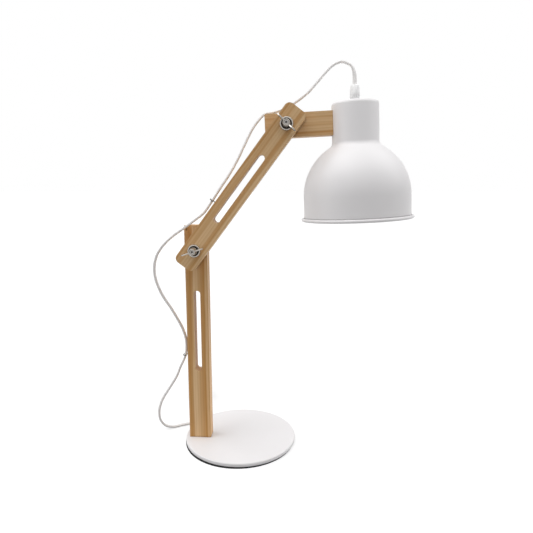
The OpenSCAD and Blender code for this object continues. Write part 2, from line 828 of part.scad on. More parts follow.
module holder_skirt() {
    color("whitesmoke") neck_frame() translate([0, 0, skirt_h]) difference() {
        cylinder(h = holder_skirt_h, d = holder_d);
        translate([0, 0, -over]) cylinder(h = holder_skirt_h + 2 * over, r = skirt_in_r);
    }
}

// Insert that carries the contacts, with a recess for the centre contact and holes for the terminals
module holder_insert() {
    color("ivory") neck_frame() translate([0, 0, insert_h]) difference() {
        cylinder(h = insert_t, r = insert_r);
        translate([0, 0, insert_t / 2]) cylinder(h = insert_t, d = contact_d + 2 * run_gap);
        terminal_places() translate([0, 0, -over])
            cylinder(h = terminal_screw_l + over, d = terminal_screw_d + 2 * fit_gap);
    }
}

module terminal_places() {
    for (side = [-1, 1])
        translate([side * (insert_r + contact_d / 2) / 2, 0, 0]) children();
}

module terminal_screws() {
    color("goldenrod") neck_frame() translate([0, 0, insert_h]) terminal_places()
        cylinder(h = terminal_screw_l, d = terminal_screw_d);
}

module centre_contact() {
    color("goldenrod") neck_frame() translate([0, 0, insert_h + insert_t / 2]) {
        cylinder(h = contact_t, d = contact_d);
        cylinder(h = 2 * contact_t, d = contact_d / 2);
    }
}

module thread_shell() {
    color("goldenrod") neck_frame() translate([0, 0, thread_h]) difference() {
        cylinder(h = thread_l, d = thread_d + 2 * thread_t);
        translate([0, 0, -over]) cylinder(h = thread_l + 2 * over, d = thread_d);
    }
}

// Hole for a hook's shank, with Z from the ring's middle into the wood
module hook_hole() {
    translate([0, 0, hook_r])
        cylinder(h = hook_out - hook_r + hook_shank_l + fit_gap, d = hook_wire_d + 2 * fit_gap);
}

// Open wire ring about X with a straight shank along Z
module wire_hook() {
    rotate([0, 90, 0]) rotate([0, 0, 180 + hook_opening]) rotate_extrude(angle = 360 - hook_opening)
        translate([hook_r, 0]) circle(d = hook_wire_d, $fn = 24);
    translate([0, 0, hook_r]) cylinder(h = hook_out - hook_r + hook_shank_l, d = hook_wire_d, $fn = 24);
}

module arm_hook() {
    color("silver") arm_frame() translate([arm_hook_at, arm_y, slat_w / 2 + hook_out])
        rotate([0, 180, 0]) wire_hook();
}

module post_hook() {
    color("silver") translate(post_hook_ring) rotate([0, 90, 0]) wire_hook();
}

module cord_upper() {
    color("whitesmoke") tube(stretch_rings(upper_route, grip_way, arm_hook_way, [1, 0, 0], [0, 1, 0], 4));
}

module cord_middle() {
    side = [0, 1, 0];
    color("whitesmoke") tube(stretch_rings(middle_route, arm_hook_way, post_hook_way, side, side, 1));
}

module cord_lower() {
    landed_side = [-0.5, 0.85, 0];
    color("whitesmoke") tube(stretch_rings(lower_route, post_hook_way, line_way, [0, 1, 0], landed_side, 8));
}

module cord_hank() {
    color("whitesmoke") line_frame(hank_at) tube(hank_rings);
}

// Band round the hank's waist
module cord_tie() {
    spread = (hank_half(0.25) - hank_half(0.5)) / (hank_run / run_rings);
    half = hank_half(0.5) + spread * tie_w / 2 + cord_t / 2 * sqrt(1 + spread * spread) + soft_gap;
    high = hank_top + soft_gap;
    color("white") line_frame(hank_at) translate([0, (hank_run + tie_w) / 2, 0]) rotate([90, 0, 0])
        linear_extrude(tie_w) difference() {
            round_rect([-half - tie_t, 0], [half + tie_t, high + tie_t], tie_t * 2);
            round_rect([-half, tie_t], [half, high], tie_t);
        }
}

// Plan of the switch's shells
module switch_plan(inset) {
    half_w = switch_w / 2 - inset;
    round_rect([-half_w, inset], [half_w, switch_l - inset], switch_corner_r - inset);
}

module switch_base() {
    color("white") line_frame(0) difference() {
        union() {
            difference() {
                linear_extrude(switch_base_h) switch_plan(0);
                translate([0, 0, switch_wall]) linear_extrude(switch_base_h) switch_plan(switch_wall);
            }
            switch_screw_places() cylinder(h = switch_base_h, d = 2 * switch_screw_d);
        }
        switch_screw_places() translate([0, 0, -over])
            cylinder(h = switch_base_h + 2 * over, d = switch_screw_d + 2 * fit_gap);
    }
}

// Places of the switch's screws at its two ends
module switch_screw_places() {
    for (y = [switch_corner_r, switch_l - switch_corner_r])
        translate([0, y, 0]) children();
}

module switch_cover() {
    roof = switch_base_h + switch_cover_h;
    color("white") line_frame(0) difference() {
        union() {
            translate([0, 0, switch_base_h]) linear_extrude(switch_cover_h) difference() {
                switch_plan(0);
                switch_plan(switch_wall);
            }
            translate([0, 0, roof - switch_wall]) linear_extrude(switch_wall) switch_plan(0);
            for (side = [-1, 1])
                translate([side * (rocker_w / 2 + rocker_gap + lug_t / 2) - lug_t / 2,
                    switch_l / 2 - rocker_pin_d, rocker_z - rocker_pin_d])
                    cube([lug_t, 2 * rocker_pin_d, roof - switch_wall / 2 - rocker_z + rocker_pin_d]);
        }
        translate([-rocker_w / 2 - rocker_gap, (switch_l - rocker_l) / 2 - rocker_gap, switch_base_h])
            cube([rocker_w + 2 * rocker_gap, rocker_l + 2 * rocker_gap, switch_cover_h + over]);
        rocker_frame() rod_x(rocker_pin_d + 2 * run_gap, rocker_w + 2 * rocker_gap + 2 * lug_t + 2 * over);
    }
}

// Frame on the rocker's pin, with X along the pin
module rocker_frame() {
    translate([0, switch_l / 2, rocker_z]) children();
}

module rod_x(d, l) {
    rotate([0, 90, 0]) cylinder(h = l, d = d, center = true);
}

// Rocker: a shallow V on a pin, tilted towards the cord's far end at rest
module switch_rocker() {
    end = rocker_l / 2;
    color("gainsboro") line_frame(0) rocker_frame() rotate([rocker_tilt, 0, 0]) {
        translate([-rocker_w / 2, 0, 0]) rotate([90, 0, 90]) linear_extrude(rocker_w) polygon([
            [2 * rocker_taper - end, -rocker_dip], [0, -rocker_rise],
            [end - 2 * rocker_taper, -rocker_dip], [end - rocker_taper, rocker_rise],
            [0, rocker_rise - rocker_dip], [rocker_taper - end, rocker_rise]
        ]);
        rod_x(rocker_pin_d, rocker_w + 2 * rocker_gap + 2 * lug_t);
    }
}

module switch_screws() {
    color("silver") line_frame(0) switch_screw_places() cylinder(h = switch_base_h, d = switch_screw_d);
}

// Two brass strips on the lower shell's floor
module switch_contacts() {
    strip_l = switch_l - 4 * switch_corner_r;
    color("goldenrod") line_frame(0) for (side = [-1, 1])
        translate([(side * strip_pitch - strip_w) / 2, (switch_l - strip_l) / 2, switch_wall])
            cube([strip_w, strip_l, strip_t]);
}

module plug_frame() {
    line_frame(hank_at + relief_b) translate([0, 0, plug_z]) rotate([0, 0, 180]) children();
}

// Plug with its strain relief towards the cord, drawn along Y from the cord's end
module plug_body() {
    face = relief_l + plug_l;
    edge = plug_w / 2;
    waist = plug_shoulder_w / 2;
    color("white") plug_frame() {
        translate([0, 0, -plug_t / 2]) difference() {
            linear_extrude(plug_t) polygon([
                [-waist, relief_l], [waist, relief_l], [edge, relief_l + plug_l / 2],
                [edge, face - plug_chamfer], [edge - plug_chamfer, face], [plug_chamfer - edge, face],
                [-edge, face - plug_chamfer], [-edge, relief_l + plug_l / 2]
            ]);
            translate([0, 0, plug_t / 2]) pin_places(over)
                cylinder(h = pin_in + over, d = pin_d + 2 * fit_gap);
        }
        rotate([-90, 0, 0]) cylinder(h = relief_l + over, d1 = relief_d, d2 = relief_root_d);
    }
}

// Places of the pins, with Z along the pin back into the body
module pin_places(out) {
    for (side = [-1, 1])
        translate([side * pin_pitch / 2, relief_l + plug_l + out, 0]) rotate([90, 0, 0]) children();
}

module plug_pins() {
    color("silver") plug_frame() pin_places(pin_l) cylinder(h = pin_l + pin_in - 2 * fit_gap, d = pin_d);
}

base_plate();
base_pad();
post();
post_screws();
lower_bolt();
lower_back_washer();
lower_friction_washer();
lower_front_washer();
lower_wing_nut();
swing_arm();
upper_bolt();
upper_back_washer();
upper_friction_washer();
upper_front_washer();
upper_wing_nut();
head_arm();
head_screws();
shade();
cord_grip();
grip_screw();
holder_locknut();
holder_cap();
holder_skirt();
holder_insert();
thread_shell();
centre_contact();
terminal_screws();
arm_hook();
post_hook();
cord_upper();
cord_middle();
cord_lower();
cord_hank();
cord_tie();
switch_base();
switch_cover();
switch_rocker();
switch_screws();
switch_contacts();
plug_body();
plug_pins();
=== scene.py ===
"""Looks of an adjustable wooden desk lamp: its pieces, finishes, stage and camera."""

import json
import math

import bmesh
import bpy
import numpy as np
from bpy.props import FloatProperty, FloatVectorProperty, IntProperty, PointerProperty
from mathutils import Matrix, Vector


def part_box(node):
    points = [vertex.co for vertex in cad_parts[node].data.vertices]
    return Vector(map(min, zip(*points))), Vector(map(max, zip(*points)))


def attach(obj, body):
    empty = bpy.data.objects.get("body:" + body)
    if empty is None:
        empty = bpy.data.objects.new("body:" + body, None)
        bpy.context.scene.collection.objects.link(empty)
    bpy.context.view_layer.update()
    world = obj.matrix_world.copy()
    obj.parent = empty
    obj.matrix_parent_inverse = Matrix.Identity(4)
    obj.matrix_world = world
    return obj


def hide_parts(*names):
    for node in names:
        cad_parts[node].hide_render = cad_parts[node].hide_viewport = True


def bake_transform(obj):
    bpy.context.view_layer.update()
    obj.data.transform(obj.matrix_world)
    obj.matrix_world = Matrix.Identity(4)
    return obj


bl_info = {
    "name": "Adjustable Desk Lamp",
    "version": (1, 0, 0),
    "blender": (4, 5, 0),
    "location": "View3D > Sidebar > Desk Lamp",
    "description": "Dresses a wooden swing-arm desk lamp with its surfaces, finishes, cord and stage",
    "category": "Object",
}

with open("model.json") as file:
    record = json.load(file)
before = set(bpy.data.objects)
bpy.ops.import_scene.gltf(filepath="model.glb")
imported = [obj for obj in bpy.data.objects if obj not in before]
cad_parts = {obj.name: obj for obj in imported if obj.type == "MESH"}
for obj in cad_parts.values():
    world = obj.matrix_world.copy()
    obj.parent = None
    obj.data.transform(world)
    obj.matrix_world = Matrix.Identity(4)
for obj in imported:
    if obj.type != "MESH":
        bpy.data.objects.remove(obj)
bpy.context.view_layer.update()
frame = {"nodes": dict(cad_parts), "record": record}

MM = 0.001
JOINTS = {joint["name"]: joint for joint in frame["record"]["behaviour"]["joints"]}
MOUNTS = {mount["name"]: mount for mount in frame["record"]["mounts"]}
BODY_OF = {node: body for body, nodes in frame["record"]["behaviour"]["bodies"].items() for node in nodes}

LOWER_PIVOT = np.array(JOINTS["lower_pivot"]["pos_m"])
UPPER_PIVOT = np.array(JOINTS["upper_pivot"]["pos_m"])
ARM_RISE = math.atan2(UPPER_PIVOT[2] - LOWER_PIVOT[2], UPPER_PIVOT[0] - LOWER_PIVOT[0])
THREAD_MOUTH = np.array(MOUNTS["lamp_thread"]["pos_m"])
DOWN_NECK = np.array(MOUNTS["lamp_thread"]["axis"])
HEAD_RISE = math.atan2(DOWN_NECK[0], -DOWN_NECK[2])

SLAT_WIDTH = 29 * MM
SWITCH_SHELLS = ("switch_base", "switch_cover", "switch_rocker")

# Turn of the switch and hank from straight back, and how far the hank's first run starts past the cord's
# lower route: the switch, a fold and the cord's width
HANK_TURN = math.radians(12)
HANK_REACH = 71.2 * MM

# Routes of the cord's free stretches, in millimetres, as the solids have them
UPPER_ROUTE = [
    (143.8, -4.8, 467.3), (143.2, -4.8, 479.3), (140.3, -4.8, 488.6), (133, -4.8, 493.3), (126, -4.8, 494.5),
    (116.9, -4.8, 490.5), (108.3, -4.8, 482.5), (97.8, -4.8, 470.5), (86.8, -4, 459), (72.8, -2, 449),
    (61.8, 0, 443), (52.8, 1, 439.5), (43.8, 1, 437.2), (37.3, 1, 436.4), (32.8, -0.5, 434.4),
    (26.8, -3, 427.8), (18.8, -7, 416), (9.8, -12, 397), (1.8, -15, 380), (-8.2, -18.5, 362),
    (-18.9, -21, 346), (-29.8, -21.8, 329.4),
]
MIDDLE_ROUTE = [
    (-29.8, -21.8, 329.4), (-40.7, -21.8, 314.5), (-52.2, -22, 305.5), (-65.2, -21.5, 296), (-78.7, -20, 287),
    (-90.2, -18, 277.7), (-100.2, -15, 267), (-107.3, -12, 255), (-110.9, -9, 240), (-110, -7.5, 226),
    (-105.6, -6.5, 212), (-99.7, -6, 200), (-91.7, -5, 187), (-83.7, -5, 173), (-76.7, -5, 159),
    (-72.7, -5, 146), (-72, -4.8, 134), (-73.25, -4.8, 122),
]
LOWER_ROUTE = [
    (-73.25, -4.8, 122), (-76.8, -4.8, 113.5), (-81.3, -4, 104.5), (-88.1, 0, 89), (-99.4, 5, 70.7),
    (-110, 10, 54), (-116, 11, 41), (-118.6, 12, 28), (-117.2, 14, 15.5), (-110.9, 17.5, 6),
    (-100.6, 22.5, 2.2), (-90.8, 28.5, 1.9), (-80, 34.5, 1.9), (-72.5, 41, 1.9), (-69.2, 49, 3),
    (-68.9, 56.9, 4.5), (-70, 62, 4.5),
]

# Darkness of the wood's broad stripes across each slat, from its lower or right edge to its upper or left
# edge: pairs of place and darkness, each from 0 to 1
POST_STRIPES = (
    (0.0, 0.35), (0.05, 0.6), (0.08, 0.25), (0.14, 0.3), (0.2, 0.95), (0.28, 0.8), (0.42, 0.5), (0.56, 0.1),
    (0.7, 0.05), (0.78, 0.75), (0.88, 0.9), (1.0, 0.6),
)
ARM_STRIPES = (
    (0.0, 0.15), (0.14, 0.1), (0.22, 0.75), (0.3, 0.65), (0.38, 0.15), (0.6, 0.1), (0.68, 0.55), (0.78, 0.4),
    (0.88, 0.35), (0.93, 0.85), (1.0, 0.3),
)
HEAD_STRIPES = (
    (0.0, 0.2), (0.1, 0.35), (0.18, 0.9), (0.25, 0.2), (0.36, 0.1), (0.45, 0.4), (0.56, 0.15), (0.66, 0.1),
    (0.74, 0.5), (0.82, 0.2), (1.0, 0.15),
)


def linear(red, green, blue):
    """Linear colour of a screen colour given in steps of 255."""
    screen = np.array((red, green, blue)) / 255
    return tuple(np.where(screen <= 0.04045, screen / 12.92, ((screen + 0.055) / 1.055) ** 2.4))


def size_property(name, description, millimetres):
    """A length that a user may change."""
    return FloatProperty(name=name, description=description, default=millimetres * MM, unit="LENGTH")


def angle_property(name, description, degrees):
    """An angle that a user may change."""
    return FloatProperty(name=name, description=description, default=math.radians(degrees), subtype="ANGLE")


def colour_property(name, description, red, green, blue):
    """A colour that a user may change, given in screen steps of 255."""
    return FloatVectorProperty(
        name=name, description=description, default=linear(red, green, blue), subtype="COLOR", size=3)


def light_property(name, description, default):
    """A strength or share of light that a user may change."""
    return FloatProperty(name=name, description=description, default=default)


class LampSizes(bpy.types.PropertyGroup):
    """Sizes of the lamp's finished surfaces."""

    slat_edge: size_property("Slat edge", "Radius of the slats' sanded edges", 0.9)
    metal_edge: size_property("Metal edge", "Radius of the edges of bolts and nuts", 0.35)
    plastic_edge: size_property("Plastic edge", "Radius of the switch's and holder's edges", 0.7)
    grip_edge: size_property("Grip edge", "Radius of the cord grip's edges", 0.8)
    band_edge: size_property("Band edge", "Radius of the edges of the hank's tie", 0.25)
    plug_edge: size_property("Plug edge", "Radius of the plug's edges", 2.2)
    pin_edge: size_property("Pin edge", "Radius of the plug pins' ends", 1.2)
    base_radius: size_property("Base radius", "Radius of the base plate", 75)
    base_plate: size_property("Base plate", "Thickness of the base plate", 5.2)
    base_edge: size_property("Base edge", "Radius of the plate's top edge", 1.6)
    base_under: size_property("Base underside", "Radius of the plate's lower edge", 1.8)
    pad: size_property("Pad", "Thickness of the pad under the plate", 1.6)
    pad_edge: size_property("Pad edge", "Radius of the pad's lower edge", 0.3)
    pad_inset: size_property("Pad inset", "Step from the plate's edge to the pad's", 0.8)
    pad_place: FloatVectorProperty(
        name="Pad place", description="Middle of the pad under the plate", subtype="TRANSLATION", size=3,
        default=(-1.1 * MM, -0.8 * MM, 0))
    neck_radius: size_property("Neck radius", "Radius of the shade's neck", 28.7)
    neck_edge: size_property("Neck edge", "Radius of the neck's top edge", 4.2)
    neck_fillet: size_property("Neck fillet", "Hollow radius between neck and bell", 7)
    bell_curve: size_property("Bell curve", "Radius of the bell's curve", 70.5)
    bell_radius: size_property("Bell radius", "Radius of the bell's straight wall", 66.2)
    bell_depth: size_property("Bell depth", "Neck top to the end of the bell's curve", 113.5)
    rim_depth: size_property("Rim depth", "Neck top to the middle of the rolled rim", 140.5)
    rim_radius: size_property("Rim radius", "Radius of the rolled rim", 2.1)
    rim_lap: size_property("Rim lap", "How far the rolled rim laps over the wall", 0.6)
    sheet: size_property("Sheet", "Thickness of the shade's sheet", 0.8)
    stem_radius: size_property("Stem radius", "Radius of the grip's threaded stem", 5)
    stem_gap: size_property("Stem gap", "Gap between the stem and its hole in the shade", 0.05)
    thread_depth: size_property("Thread depth", "Neck top to the mouth of the lamp thread", 52.9)
    washer_radius: size_property("Washer radius", "Radius of the front washers", 8)
    washer_hole: size_property("Washer hole", "Radius of the front washers' holes", 3.2)
    washer_rim: size_property("Washer rim", "Width of the front washers' rim", 1.7)
    washer_edge: size_property("Washer edge", "Radius of the washers' edges and width of their step", 0.5)
    hook_radius: size_property("Hook radius", "Radius of a hook's ring at its wire", 3.5)
    hook_wire: size_property("Hook wire", "Radius of the hooks' wire", 0.6)
    hook_shank: size_property("Hook shank", "Middle of a hook's ring to the end of its shank", 12)
    cord_width: size_property("Cord width", "Width of the flat cord", 5.2)
    cord_thickness: size_property("Cord thickness", "Thickness of the flat cord", 3.2)
    hank_loops: IntProperty(name="Hank loops", description="Turns of cord in the hank", default=4)
    hank_run: size_property("Hank run", "Length of the hank's runs", 81)
    hank_fold: size_property("Hank fold", "Radius of the hank's folds", 16)
    hank_draw: size_property("Hank draw", "How far the tie draws each run in", 7)
    hank_gap: size_property("Hank gap", "Clear height between the layers on edge", 0.6)
    hank_lift: size_property("Hank lift", "Clear height under the layers on edge", 1.1)
    hank_flat_gap: size_property("Hank flat gap", "Clear height under and between the flat layers", 0.3)
    hank_leave: size_property("Hank leave", "Length along the hank of the way out to the plug", 36)
    plug_lift: size_property("Plug lift", "Height of the plug's cord above the hank", 7.15)


class LampColours(bpy.types.PropertyGroup):
    """Colours of the lamp's finishes."""

    wood_pale: colour_property("Pale wood", "Wood between the growth lines", 232, 198, 153)
    wood_dark: colour_property("Dark wood", "Wood at the growth lines", 196, 142, 78)
    paint: colour_property("Paint", "White paint of the shade and base", 235, 233, 234)
    nickel: colour_property("Nickel", "Plating of the nuts and washers", 214, 207, 198)
    wire: colour_property("Wire", "Plating of the cord hooks", 128, 124, 118)
    zinc: colour_property("Zinc", "Plating of the bolts and screws", 200, 196, 190)
    brass: colour_property("Brass", "Contacts and lamp thread", 204, 172, 100)
    cord: colour_property("Cord", "Sleeve of the flat cord", 237, 235, 234)
    plastic: colour_property("White plastic", "Lampholder, switch and plug", 246, 246, 245)
    insert: colour_property("Insert", "Heat-proof plastic inside the lampholder", 226, 220, 204)
    band: colour_property("Band", "Tie of the hank", 232, 232, 230)
    pad: colour_property("Pad", "Foam pad under the base", 16, 16, 18)
    fibre: colour_property("Fibre", "Friction washers between the slats", 112, 78, 52)


class LampStage(bpy.types.PropertyGroup):
    """Camera, floor and lamps."""

    camera_place: FloatVectorProperty(
        name="Camera place", description="Where the camera stands", subtype="TRANSLATION", size=3,
        default=(78.17 * MM, -621.56 * MM, 346.26 * MM))
    camera_turn: FloatVectorProperty(
        name="Camera turn", description="Camera's pitch, roll and turn", subtype="EULER", size=3,
        default=(math.radians(80.61), math.radians(0.09), math.radians(3.85)))
    camera_angle: angle_property("Camera angle", "Camera's angle of view", 57.88)
    ambient_low: light_property("Ambient low", "Strength of the light from the sides", 0.34)
    ambient_high: light_property("Ambient high", "Strength of the light from overhead", 0.56)
    ambient_front: light_property("Ambient front", "Share of the soft light from straight ahead", 0.3)
    ambient_side: light_property("Ambient side", "Share added to the light from left and right", 0.5)
    floor: FloatVectorProperty(
        name="Floor", description="Colour of the floor", subtype="COLOR", size=3, default=(0.45, 0.45, 0.45))
    floor_lift: light_property("Floor lift", "White that the camera sees on the floor", 0.63)
    sun_angle: angle_property("Sun angle", "How broad the two distant lamps look", 50)


def quads(rows, columns, close_rows):
    """Quads of a grid of points, row by row, whose rows are closed rings, joined end to start if asked."""
    row = np.arange(rows if close_rows else rows - 1)
    r, c = np.meshgrid(row, np.arange(columns), indexing="ij")
    r2, c2 = (r + 1) % rows, (c + 1) % columns
    corners = (r * columns + c, r * columns + c2, r2 * columns + c2, r2 * columns + c)
    return np.stack(corners, axis=-1).reshape(-1, 4)


def add_piece(name, mesh, sharp):
    """Object of a mesh, smooth except at edges past an angle in degrees."""
    mesh.polygons.foreach_set("use_smooth", np.ones(len(mesh.polygons), dtype=bool))
    mesh.set_sharp_from_angle(angle=math.radians(sharp))
    piece = bpy.data.objects.new(name, mesh)
    bpy.context.scene.collection.objects.link(piece)
    return piece


def surface(name, grid, close_rows=False):
    """Closed object of a grid of rings, with its seams and poles merged and its faces turned outwards."""
    mesh = bpy.data.meshes.new(name)
    mesh.from_pydata(grid.reshape(-1, 3).tolist(), [], quads(*grid.shape[:2], close_rows).tolist())
    shape = bmesh.new()
    shape.from_mesh(mesh)
    bmesh.ops.remove_doubles(shape, verts=shape.verts, dist=1e-6)
    bmesh.ops.dissolve_degenerate(shape, edges=shape.edges, dist=1e-7)
    bmesh.ops.recalc_face_normals(shape, faces=shape.faces)
    shape.to_mesh(mesh)
    shape.free()
    return add_piece(name, mesh, 40)


def turned(profile, place, axis, steps):
    """Surface of revolution: a profile of radius and depth, carried round an axis through a place."""
    axis = np.array(axis) / np.linalg.norm(axis)
    side = np.cross((0, 1, 0) if abs(axis[1]) < 0.9 else (1, 0, 0), axis)
    side /= np.linalg.norm(side)
    across = np.cross(axis, side)
    angle = np.linspace(0, 2 * math.pi, steps, endpoint=False)
    round_way = np.cos(angle)[:, None] * side + np.sin(angle)[:, None] * across
    profile = np.array(profile)
    return np.array(place) + profile[:, 0, None, None] * round_way + profile[:, 1, None, None] * axis


def arc(centre, radius, start, end, steps):
    """Points of an arc in a profile, with angles in degrees."""
    angle = np.radians(np.linspace(start, end, steps + 1))
    return np.array(centre) + radius * np.stack((np.cos(angle), np.sin(angle)), axis=1)


def rounded_profile(corners, radius, steps=4):
    """Closed profile whose corners are rounded: each corner is a curve between points a radius away."""
    corners = np.array(corners, dtype=float)
    before, after = np.roll(corners, 1, axis=0), np.roll(corners, -1, axis=0)

    def towards(other):
        way = other - corners
        length = np.linalg.norm(way, axis=1, keepdims=True)
        return corners + way * np.minimum(radius / np.maximum(length, 1e-9), 0.45)

    t = np.linspace(0, 1, steps + 1)[None, :, None]
    first, last = towards(before)[:, None], towards(after)[:, None]
    return ((1 - t) ** 2 * first + 2 * t * (1 - t) * corners[:, None] + t ** 2 * last).reshape(-1, 2)


def smooth_path(points, spacing):
    """Even points on a Catmull-Rom curve through given points."""
    points = np.array(points, dtype=float)
    padded = np.vstack((2 * points[0] - points[1], points, 2 * points[-1] - points[-2]))
    t = np.linspace(0, 1, 24, endpoint=False)[:, None]
    a, b, c, d = (padded[i:len(padded) - 3 + i, None] for i in range(4))
    curve = 0.5 * (
        2 * b + (c - a) * t + (2 * a - 5 * b + 4 * c - d) * t ** 2 + (3 * b - a - 3 * c + d) * t ** 3)
    curve = np.vstack((curve.reshape(-1, 3), points[-1]))
    reach = np.concatenate(([0], np.cumsum(np.linalg.norm(np.diff(curve, axis=0), axis=1))))
    even = np.linspace(0, reach[-1], max(2, int(round(reach[-1] / spacing))) + 1)
    return np.stack([np.interp(even, reach, curve[:, i]) for i in range(3)], axis=1)


def ways(path):
    """Unit way of a path at each of its points."""
    way = np.gradient(path, axis=0)
    return way / np.linalg.norm(way, axis=1, keepdims=True)


def tube(path, section, sides):
    """Section carried along a path, its width along given sides, with both ends drawn to a point."""
    way = ways(path)
    side = sides - (sides * way).sum(axis=1, keepdims=True) * way
    side /= np.linalg.norm(side, axis=1, keepdims=True)
    across = np.cross(way, side)
    rings = path[:, None] + section[:, 0, None] * side[:, None] + section[:, 1, None] * across[:, None]
    start = np.broadcast_to(path[0], rings[:1].shape)
    end = np.broadcast_to(path[-1], rings[:1].shape)
    return np.concatenate((start, rings, end))


def flat_cord_section(width, thickness):
    """Flat twin cord's outline: two round edges with a faint hollow between the two cores."""
    angle = np.linspace(0, 2 * math.pi, 28, endpoint=False)
    core = thickness / 2
    edge_power, face_power = 0.4, 0.8
    hollow_depth, hollow_reach = 0.07, 0.18 * width
    middle = (width / 2 - core) * np.sign(np.cos(angle)) * np.abs(np.cos(angle)) ** edge_power
    x = middle + core * np.cos(angle)
    y = core * np.sign(np.sin(angle)) * np.abs(np.sin(angle)) ** face_power
    hollow = 1 - hollow_depth * np.exp(-(x / hollow_reach) ** 2)
    return np.stack((x, y * hollow), axis=1)


def dress(piece, node, material):
    """Puts a piece in a node's place, on the node's body, with its finish."""
    piece.data.materials.clear()
    piece.data.materials.append(material)
    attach(piece, BODY_OF[node])
    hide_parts(node)


def dress_rounded(node, name, edge, material, segments=3):
    """Dresses a copy of a node's solid, merged, with its flat faces joined and its edges rounded."""
    source = frame["nodes"][node].data
    points = np.empty(len(source.vertices) * 3)
    source.vertices.foreach_get("co", points)
    source.calc_loop_triangles()
    corners = np.empty(len(source.loop_triangles) * 3, dtype=np.int32)
    source.loop_triangles.foreach_get("vertices", corners)
    mesh = bpy.data.meshes.new(name)
    mesh.from_pydata(points.reshape(-1, 3).tolist(), [], corners.reshape(-1, 3).tolist())
    shape = bmesh.new()
    shape.from_mesh(mesh)
    bmesh.ops.remove_doubles(shape, verts=shape.verts, dist=2e-6)
    bmesh.ops.dissolve_limit(
        shape, angle_limit=math.radians(0.5), verts=shape.verts, edges=shape.edges,
        use_dissolve_boundaries=False)
    shape.to_mesh(mesh)
    shape.free()
    sharp = 35
    piece = add_piece(name, mesh, sharp)
    bevel = piece.modifiers.new("rounded edges", "BEVEL")
    bevel.width = edge
    bevel.segments = segments
    bevel.limit_method = "ANGLE"
    bevel.angle_limit = math.radians(sharp)
    bevel.harden_normals = True
    dress(piece, node, material)


def finish_nodes(material, *nodes):
    """Gives nodes that show as they are a finish of their own."""
    for node in nodes:
        piece = frame["nodes"][node]
        if not piece.material_slots:
            piece.data.materials.append(material)
        for place in piece.material_slots:
            place.material = material


class Nodes:
    """A node tree, built step by step."""

    def __init__(self, tree):
        self.tree = tree

    def fill(self, node, inputs):
        """Gives a node's inputs outputs of other nodes or plain values."""
        for key, value in inputs.items():
            if isinstance(value, bpy.types.NodeSocket):
                self.tree.links.new(value, node.inputs[key])
            else:
                node.inputs[key].default_value = value

    def add(self, kind, inputs, **settings):
        """A new node with its settings and inputs."""
        node = self.tree.nodes.new(kind)
        for key, value in settings.items():
            setattr(node, key, value)
        self.fill(node, inputs)
        return node

    def reckon(self, operation, *values):
        """A step of arithmetic on outputs and plain numbers."""
        return self.add("ShaderNodeMath", dict(enumerate(values)), operation=operation).outputs[0]

    def parts(self, vector):
        """The X, Y and Z of a vector."""
        return self.add("ShaderNodeSeparateXYZ", {"Vector": vector}).outputs

    def seen(self):
        """One for rays from the camera, from shiny surfaces and through clear ones; nothing for the rest."""
        rays = self.add("ShaderNodeLightPath", {}).outputs
        shown = self.reckon("MAXIMUM", rays["Is Camera Ray"], rays["Is Glossy Ray"])
        return self.reckon("MAXIMUM", shown, rays["Is Transmission Ray"])


